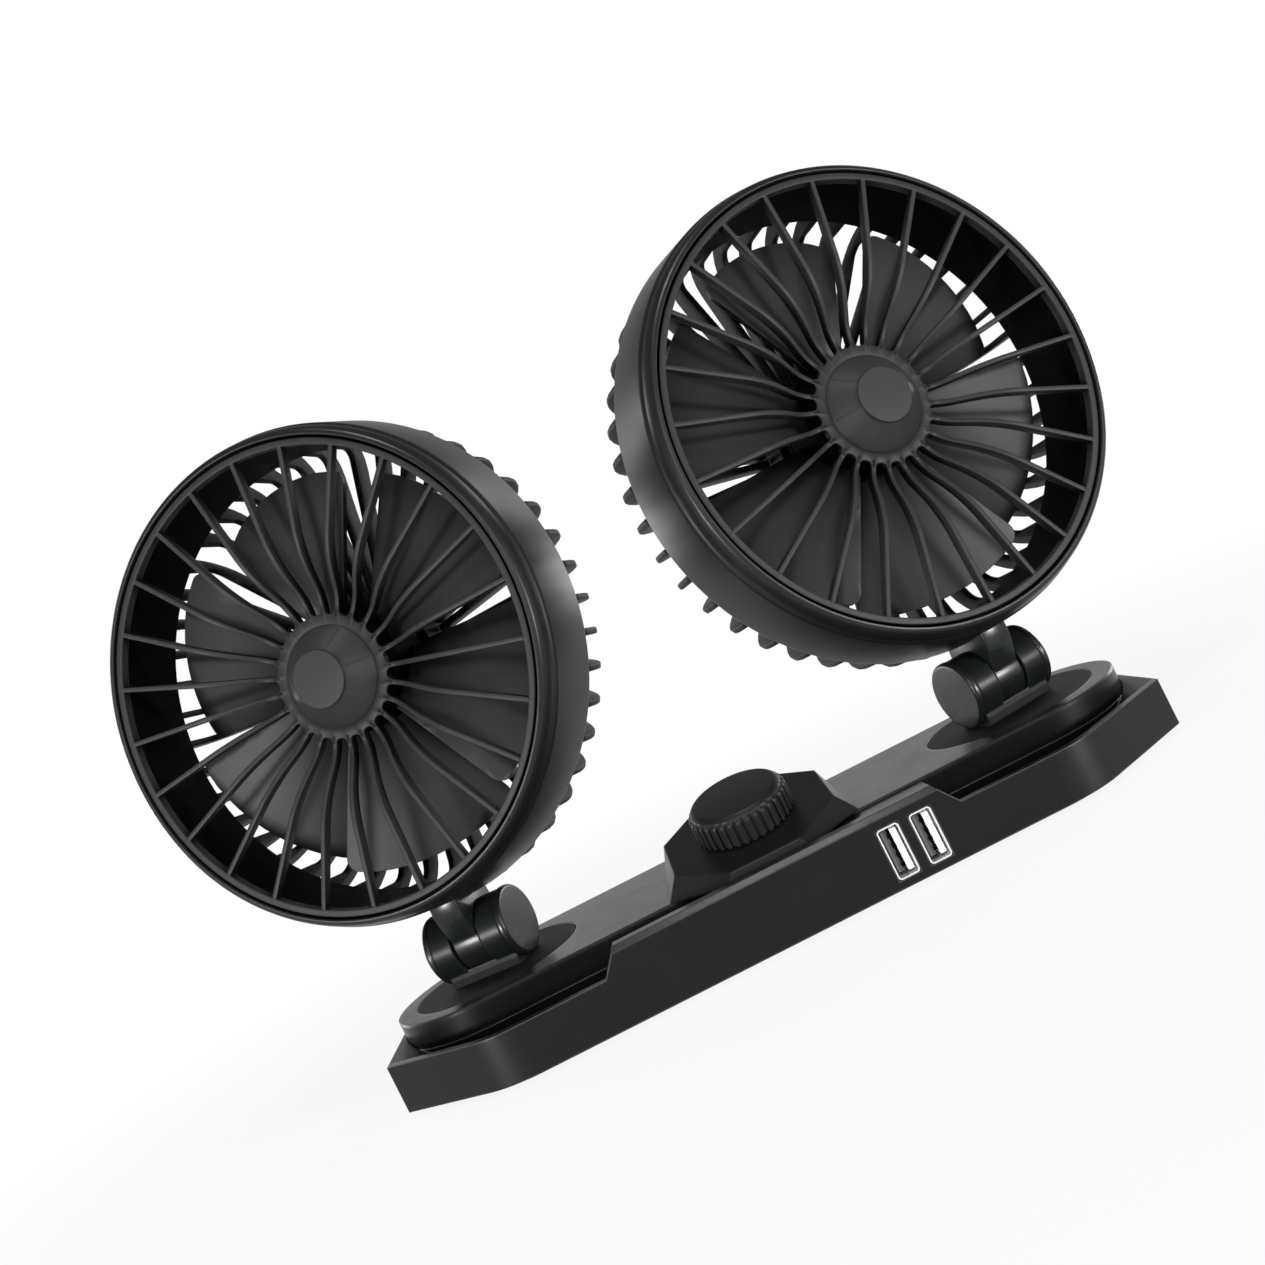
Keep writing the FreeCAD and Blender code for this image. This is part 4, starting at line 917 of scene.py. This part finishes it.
@dataclass
class Impeller:
    """Hub and curved blades of one fan wheel, in the head's frame.

    Attributes:
        hub: Radius of the hub.
        front: Depth of the hub's face.
        back: Depth of the hub's rim.
        skin: Thickness of the hub's wall.
        blades: How many blades it has.
        root: Radius, half width and half depth of a blade at its root.
        tip: Radius, half width and half depth of a blade at its tip.
        sweep: Half of the angle that the tip's arc spans, in degrees.
        corners: Rounding of the tip's first and last corner.
        cuts: Spacing of the cuts that let a blade bow, outwards and across.
        bow: How far a blade bows out between its edges.
        thickness: Thickness of a blade.
        sink: How far the blades lie behind the middle of the hub.
    """

    hub: float = 17.0
    front: float = 14.6
    back: float = 30.0
    skin: float = 2.0
    blades: int = 6
    root: Triple = (15.8, 8.0, 5.5)
    tip: Triple = (55.5, 28.0, 6.0)
    sweep: float = 27.4
    corners: Pair = (4.0, 3.0)
    cuts: Pair = (4.5, 4.0)
    bow: float = 1.6
    thickness: float = 1.5
    sink: float = 2.0

    def build(self, side: Side) -> None:
        """Make the fan wheel of one head.

        Args:
            side: Which head.
        """
        place = head_frame(side)
        node, body = f"{side.value}_impeller", f"{side.value}_fan"
        # The hub is painted near-black, a painted shade behind the grille.
        self._hub().piece(f"{node}_hub", place, PAINTED_SHADE_BLACK, body, [node])
        self._blades().piece(f"{node}_blades", place, FAN, body, [node])

    def _hub(self) -> Shape:
        """Turn the cup-shaped hub, open to the back.

        Returns:
            The hub.
        """
        shape = Shape()
        inside, floor = self.hub - self.skin, self.front + self.skin
        shape.turn(
            (0.0, self.front), (self.hub, self.front, 2.5), (self.hub, self.back),
            (inside, self.back), (inside, floor), (0.0, floor),
            steps=STEPS_SMALL,
        )
        return shape

    def _outline(self) -> list[Corner]:
        """Draw one blade as seen from the front, with a round tip.

        Returns:
            Its corners.
        """
        angles = [math.radians(self.sweep * (step / 6.0 - 1.0)) for step in range(13)]
        tip = [(self.tip[0] * math.cos(angle), self.tip[0] * math.sin(angle)) for angle in angles]
        first, last = (*tip[0], self.corners[0]), (*tip[-1], self.corners[1])
        return [(self.root[0], -self.root[1]), first, *tip[2:-2], last, (self.root[0], self.root[1])]

    def _depth(self, point: Vector) -> float:
        """Work out how deep a blade lies.

        Args:
            point: A point of its outline.

        Returns:
            Depth of its middle surface there.
        """
        share = (point.x - self.root[0]) / (self.tip[0] - self.root[0])
        half = self.root[1] + (self.tip[1] - self.root[1]) * share
        rise = self.root[2] + (self.tip[2] - self.root[2]) * share
        across = point.z / half
        middle = (self.front + self.back) / 2.0 + self.sink
        return middle + rise * across - self.bow * (1.0 - across * across)

    def _blades(self) -> Shape:
        """Make the blades: one outline, sliced, bowed and thickened, then repeated.

        Returns:
            All blades.
        """
        shape = Shape()
        part = bmesh.new()
        Shape.face(part, self._outline())
        bmesh.ops.transform(part, matrix=FACING, verts=part.verts[:])
        outwards, across = self.cuts
        cuts = [((0.0, 0.0, step * across), (0.0, 0.0, 1.0)) for step in range(-5, 6)]
        cuts += [((self.root[0] + step * outwards, 0.0, 0.0), (1.0, 0.0, 0.0)) for step in range(1, 8)]
        for point, normal in cuts:
            geometry = part.verts[:] + part.edges[:] + part.faces[:]
            bmesh.ops.bisect_plane(part, geom=geometry, plane_co=point, plane_no=normal)
        for vert in part.verts:
            vert.co.y = self._depth(vert.co) - self.thickness / 2.0
        bmesh.ops.recalc_face_normals(part, faces=part.faces[:])
        bmesh.ops.solidify(part, geom=part.faces[:], thickness=self.thickness)
        bmesh.ops.recalc_face_normals(part, faces=part.faces[:])
        Shape.soften(part, Shape.sharp(part, 60.0), 0.45)
        half_pitch = Matrix.Rotation(math.pi / self.blades, 4, "Y")
        bmesh.ops.transform(part, matrix=half_pitch, verts=part.verts[:])
        Shape.around(part, self.blades)
        shape.take(part)
        return shape


@dataclass
class Hinge:
    """End caps and neck of one hinge, about the hinge axis.

    Attributes:
        outside: Where the hinge ears end, from the middle.
        cap: Radius of the end caps.
        cap_end: Outer face of the end caps.
        knuckle: Radius of the neck's knuckle.
        half: Half width of the neck.
        stem: Front and back of the neck's stem.
        stem_top: Height of the stem.
    """

    outside: float = 11.0
    cap: float = 9.9
    cap_end: float = 13.2
    knuckle: float = 8.8
    half: float = 4.3
    stem: Pair = (-12.5, 6.0)
    stem_top: float = 13.0

    def build(self, side: Side) -> None:
        """Make the caps and the neck of one hinge.

        Args:
            side: Which hinge.
        """
        tilt, spin = joint("left_tilt"), joint("left_spin")
        origin = Vector(tilt["pos_m"])
        across = -Vector(tilt["axis"])
        level = along(origin, Vector((0.0, 0.0, 1.0)).cross(across))
        leaning = along(origin, -Vector(spin["axis"]))
        for shape, name, there, body in (
            (self._caps(), "hinge_caps", level, "swivel"),
            (self._neck(), "neck", leaning, "head"),
        ):
            node = f"{side.value}_{name}"
            place = mirrored(side, there)
            shape.piece(f"{node}_dressed", place, HINGE, f"{side.value}_{body}", [node])

    def _caps(self) -> Shape:
        """Turn two rounded end caps, each behind a narrow groove.

        Returns:
            Both caps.
        """
        shape = Shape()
        groove, face = self.cap - 0.7, self.outside + 0.02
        for end in (1.0, -1.0):
            shape.turn(
                (0.0, end * self.cap_end), (self.cap - 0.5, end * self.cap_end, 0.45),
                (self.cap, end * (self.cap_end - 0.6), 0.35),
                (self.cap, end * (self.outside + 0.35), 0.2),
                (groove, end * (self.outside + 0.1)), (groove, end * face), (0.0, end * face),
                steps=STEPS_SMALL, place=SIDEWAYS,
            )
        return shape

    def _neck(self) -> Shape:
        """Make the knuckle and the stem with soft edges.

        Returns:
            The neck.
        """
        shape = Shape()
        shape.turn(
            (0.0, -self.half), (self.knuckle, -self.half, 0.3), (self.knuckle, self.half, 0.3),
            (0.0, self.half),
            steps=STEPS_SMALL, place=SIDEWAYS,
        )
        waist = self.knuckle - 0.1
        front, back = self.stem
        shape.plates(
            (-waist, 1.0), (front, self.stem_top - 4.0, 3.0), (front, self.stem_top),
            (back, self.stem_top), (waist, 1.0),
            thickness=self.half * 2.0, edge=0.7, place=UPRIGHT,
        )
        return shape


@dataclass
class Knob:
    """The ridged speed knob, with Y into the panel.

    Attributes:
        radius: Radius between the ridges.
        slope: Width of the slanted edge round the top.
        ridge: How far the ridges stand out.
        ridge_width: Width of a ridge.
        ridges: How many ridges it has.
        gap: From the panel to the knob.
        height: Height of the knob.
    """

    radius: float = 12.8
    slope: float = 1.1
    ridge: float = 0.8
    ridge_width: float = 1.3
    ridges: int = 36
    gap: float = 0.5
    height: float = 8.2

    def build(self) -> None:
        """Make the knob."""
        turn = joint("knob_turn")
        place = along(Vector(turn["pos_m"]), Vector(turn["axis"]))
        shape = Shape()
        low, top = -self.gap, -self.gap - self.height
        shape.turn(
            (0.0, top), (self.radius - self.slope, top, 0.5),
            (self.radius, top + self.slope, 0.4), (self.radius, low), (0.0, low),
        )
        outside = self.radius + self.ridge
        shape.plates(
            (self.radius - 1.0, low), (outside, low), (outside, top + 1.9, 0.7),
            (self.radius - 0.9, top + 0.55), (self.radius - 2.0, top + 0.6),
            thickness=self.ridge_width, edge=0.45, count=self.ridges,
        )
        shape.piece("speed_knob_dressed", place, KNOB, "knob", ["speed_knob"])


@dataclass
class Socket:
    """One upright socket, in a frame with its origin in the middle of its mouth and Z to the front.

    Attributes:
        width: Width of the frame.
        height: Height of the frame.
        depth: Depth of the frame.
        corner: Rounding of the frame's corners.
        skin: Thickness of the frame's wall.
        pocket: Depth of the mouth.
        tongue: Middle, half width and half height of the tongue.
        tongue_front: How far the tongue lies behind the mouth.
        spring: Middle, half width and half height of the spring beside the tongue.
        spring_front: How far the spring lies behind the mouth.
        contact: Left, right and half height of a contact.
        contact_rise: How far the contacts stand before the spring.
        pitch: Between the contacts.
    """

    width: float = 5.7
    height: float = 13.1
    depth: float = 13.0
    corner: float = 0.9
    skin: float = 0.34
    pocket: float = 10.0
    tongue: Triple = (1.26, 0.75, 5.4)
    tongue_front: float = 1.2
    spring: Triple = (-1.05, 0.8, 5.4)
    spring_front: float = 2.6
    contact: Triple = (-0.55, 0.5, 0.6)
    contact_rise: float = 0.5
    pitch: float = 2.5

    def build(self, name: str) -> None:
        """Make the pieces of one socket.

        Args:
            name: Which socket, inner or outer.
        """
        low, high = (Vector(corner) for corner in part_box(f"usb_shell_{name}"))
        middle = (low + high) / 2.0
        middle.y = low.y
        place = Matrix.Translation(middle) @ FACING @ Matrix.Scale(MM, 4)
        for shape, piece, finish, node in (
            (self._frame(), "frame", STEEL, f"usb_shell_{name}"),
            (self._block(self.tongue, self.tongue_front), "tongue", WHITE, f"usb_tongue_{name}"),
            (self._block(self.spring, self.spring_front), "spring", SPRING, "usb_contacts"),
            (self._contacts(), "contacts", PAINTED_SHADE_BLACK, "usb_contacts"),
        ):
            shape.piece(f"usb_{piece}_{name}", place, finish, "base", [node])

    @staticmethod
    def _upright(left: float, right: float, tall: float, rounding: float) -> list[Corner]:
        """The corners of an upright rectangle, given its sides, half its height and its rounding."""
        corners = ((left, -tall), (right, -tall), (right, tall), (left, tall))
        return [(x, y, rounding) for x, y in corners]

    def _frame(self) -> Shape:
        """Make the rounded frame with its deep mouth.

        Returns:
            The frame.
        """
        shape = Shape()
        half, tall = self.width / 2.0, self.height / 2.0
        part = bmesh.new()
        Shape.face(part, self._upright(-half, half, tall, self.corner))
        Shape.grow(part, (0.0, 0.0, -self.depth))
        mouth = [item for item in part.faces if all(abs(vert.co.z) < NEAR for vert in item.verts)]
        bmesh.ops.inset_region(part, faces=mouth, thickness=self.skin, use_even_offset=True)
        floor = bmesh.ops.extrude_discrete_faces(part, faces=mouth)["faces"][0]
        bmesh.ops.translate(part, verts=floor.verts[:], vec=(0.0, 0.0, -self.pocket))
        shape.take(part)
        return shape

    def _block(self, sizes: Triple, front: float) -> Shape:
        """An upright bar inside the mouth, with softened edges.

        Args:
            sizes: Its middle, half width and half height.
            front: How far it lies behind the mouth.

        Returns:
            The bar, reaching back to the floor of the mouth.
        """
        shape = Shape()
        middle, half, tall = sizes
        length = self.pocket - front
        place = Matrix.Translation((middle, 0.0, -front - length / 2.0))
        shape.plates(*self._upright(-half, half, tall, 0.2), thickness=length, edge=0.12, place=place)
        return shape

    def _contacts(self) -> Shape:
        """Make four contacts between the spring and the tongue, painted near-black as painted shade.

        Returns:
            The contacts.
        """
        shape = Shape()
        length = self.pocket - self.spring_front + self.contact_rise
        for step in (-1.5, -0.5, 0.5, 1.5):
            place = Matrix.Translation((0.0, step * self.pitch, -self.pocket + length / 2.0))
            shape.plates(*self._upright(*self.contact, 0.3), thickness=length, edge=0.1, place=place)
        return shape


@dataclass
class Studio:
    """Pale floor, white surroundings, soft lamps and the camera.

    Attributes:
        focal: Focal length in millimetres.
        sensor: Width of the camera's sensor in millimetres.
        eye: Place of the camera in millimetres.
        pan: How far the camera is turned to the left, in degrees.
        pitch: How far the camera looks down, in degrees.
        roll: How far the camera is rolled, in degrees.
        ambient: Strength of the surroundings on matt surfaces.
        daylight: Colour of the surroundings on matt surfaces.
        horizon: Height up to which the surroundings mirror white.
        dusk: How fast they darken above that height in a mirror.
        zenith: Strength of the surroundings overhead in a mirror.
        floor: Half width of the floor in metres.
        floor_grey: Grey of the floor.
        floor_white: Share of plain white in the floor near the fan.
        clear: Distance in metres from which the floor whitens further.
        whiten: How fast it whitens there.
        aim: Point in metres at which the lamps are aimed.
    """

    focal: float = 38.62
    sensor: float = 36.0
    eye: Triple = (-6.66, -364.8, 89.2)
    pan: float = -0.38
    pitch: float = 0.69
    roll: float = -26.74
    ambient: float = 0.05
    daylight: Colour = (0.96, 0.98, 1.0)
    horizon: float = 0.25
    dusk: float = 2.4
    zenith: float = 0.12
    floor: float = 12.0
    floor_grey: float = 0.6
    floor_white: float = 0.9
    clear: float = 0.2
    whiten: float = 0.6
    aim: Triple = (0.0, 0.0, 0.07)

    def build(self) -> None:
        """Make everything that isn't part of the fan."""
        self._world()
        self._floor()
        self._lamps()
        self._camera()

    def _camera(self) -> None:
        """Place the camera before the fan, rolled to one side."""
        data = bpy.data.cameras.new("camera")
        data.lens = self.focal
        data.sensor_width = self.sensor
        data.clip_start = 0.01
        camera = bpy.data.objects.new("camera", data)
        bpy.context.scene.collection.objects.link(camera)
        look = Matrix.Rotation(math.radians(self.pan), 4, "Z")
        look = look @ Matrix.Rotation(math.radians(90.0 - self.pitch), 4, "X")
        turn = Matrix.Rotation(math.radians(self.roll), 4, "Z")
        camera.matrix_world = Matrix.Translation(Vector(self.eye) * MM) @ look @ turn
        bpy.context.scene.camera = camera

    @staticmethod
    def _seen(graph: Graph) -> Signal:
        """Tell what the eye sees from what only gives light.

        Args:
            graph: The node tree that asks.

        Returns:
            One for rays from the camera, a mirror or glass, else nought.
        """
        ray = graph.node("ShaderNodeLightPath", {}, {}, "Is Camera Ray")
        path = ray.socket.node
        for name in ("Is Glossy Ray", "Is Transmission Ray"):
            ray = ray.at_least(Signal(graph, path.outputs[name]))
        return ray

    def _world(self) -> None:
        """White to the eye and round the horizon, dim overhead and as a lamp."""
        world = bpy.data.worlds.new("surroundings")
        world.use_nodes = True
        bpy.context.scene.world = world
        graph = Graph(world.node_tree)
        dim = {"Color": (*self.daylight, 1.0), "Strength": self.ambient}
        lamp = graph.node("ShaderNodeBackground", {}, dim)
        way = graph.node("ShaderNodeTexCoord", {}, {}, "Generated")
        height = graph.node("ShaderNodeSeparateXYZ", {}, {"Vector": way}, "Z")
        sky = (1.0 - (height - self.horizon) * self.dusk).at_least(self.zenith).at_most(1.0)
        sky = sky.at_least(graph.node("ShaderNodeLightPath", {}, {}, "Is Camera Ray"))
        white = graph.node("ShaderNodeBackground", {}, {"Color": (1.0, 1.0, 1.0, 1.0), "Strength": sky})
        both = graph.node("ShaderNodeMixShader", {}, {0: self._seen(graph), 1: lamp, 2: white})
        graph.node("ShaderNodeOutputWorld", {}, {"Surface": both})

    def _floor(self) -> None:
        """A wide pale floor that still takes the fan's shadow."""
        shape = bmesh.new()
        bmesh.ops.create_grid(shape, x_segments=1, y_segments=1, size=self.floor)
        data = bpy.data.meshes.new("floor")
        shape.to_mesh(data)
        shape.free()
        material = bpy.data.materials.new("floor")
        material.use_nodes = True
        graph = Graph(material.node_tree)
        grey = (self.floor_grey, self.floor_grey, self.floor_grey, 1.0)
        matt = graph.node("ShaderNodeBsdfDiffuse", {}, {"Color": grey})
        glow = graph.node("ShaderNodeEmission", {}, {"Color": (1.0, 1.0, 1.0, 1.0), "Strength": 1.0})
        place = graph.node("ShaderNodeTexCoord", {}, {}, "Object")
        away = graph.node("ShaderNodeVectorMath", {"operation": "LENGTH"}, {0: place}, "Value")
        further = ((away - self.clear) * self.whiten).at_least(0.0)
        share = self._seen(graph) * (self.floor_white + further).at_most(1.0)
        both = graph.node("ShaderNodeMixShader", {}, {0: share, 1: matt, 2: glow})
        graph.node("ShaderNodeOutputMaterial", {}, {"Surface": both})
        material.cycles.emission_sampling = "NONE"
        data.materials.append(material)
        floor = bpy.data.objects.new("floor", data)
        bpy.context.scene.collection.objects.link(floor)

    def _lamps(self) -> None:
        """Soft lamps: three at each side, one overhead and one behind the camera."""
        for side, sign in (("left", -1.0), ("right", 1.0)):
            self._lamp(f"{side}_front", (sign * 0.64, -0.54, 0.05), (0.14, 0.09), 6.0)
            self._lamp(f"{side}_rim", (sign * 0.65, 0.5, 0.12), (0.3, 0.2), 2.0)
            self._lamp(f"{side}_back", (sign * 0.75, 0.6, 0.55), (0.35, 0.3), 1.5)
        self._lamp("top", (0.03, -0.24, 0.95), (0.14, 0.14), 3.5)
        self._lamp("front", (0.0, -0.62, 0.34), (0.3, 0.2), 1.6)

    def _lamp(
        self, name: str, place: Triple, size: Pair, power: float
    ) -> None:
        """Add one lamp aimed at the fan, unseen by the camera.

        Args:
            name: Name of the lamp.
            place: Where it hangs, in metres.
            size: Width and height in metres.
            power: Power in watts.
        """
        data = bpy.data.lights.new(name, "AREA")
        data.shape = "RECTANGLE"
        data.size, data.size_y = size
        data.energy = power
        lamp = bpy.data.objects.new(name, data)
        bpy.context.scene.collection.objects.link(lamp)
        way = Vector(self.aim) - Vector(place)
        lamp.matrix_world = Matrix.Translation(place) @ way.to_track_quat("-Z", "Y").to_matrix().to_4x4()
        lamp.visible_camera = False


def main() -> None:
    """Build the scene in order."""
    logging.basicConfig(level=logging.INFO, format="%(message)s")
    bpy.context.scene.view_settings.view_transform = "Standard"
    dress_nodes()
    for side in Side:
        Head().build(side)
        Impeller().build(side)
        Hinge().build(side)
    Knob().build()
    for name in ("inner", "outer"):
        Socket().build(name)
    Studio().build()


if __name__ == "__main__":
    main()
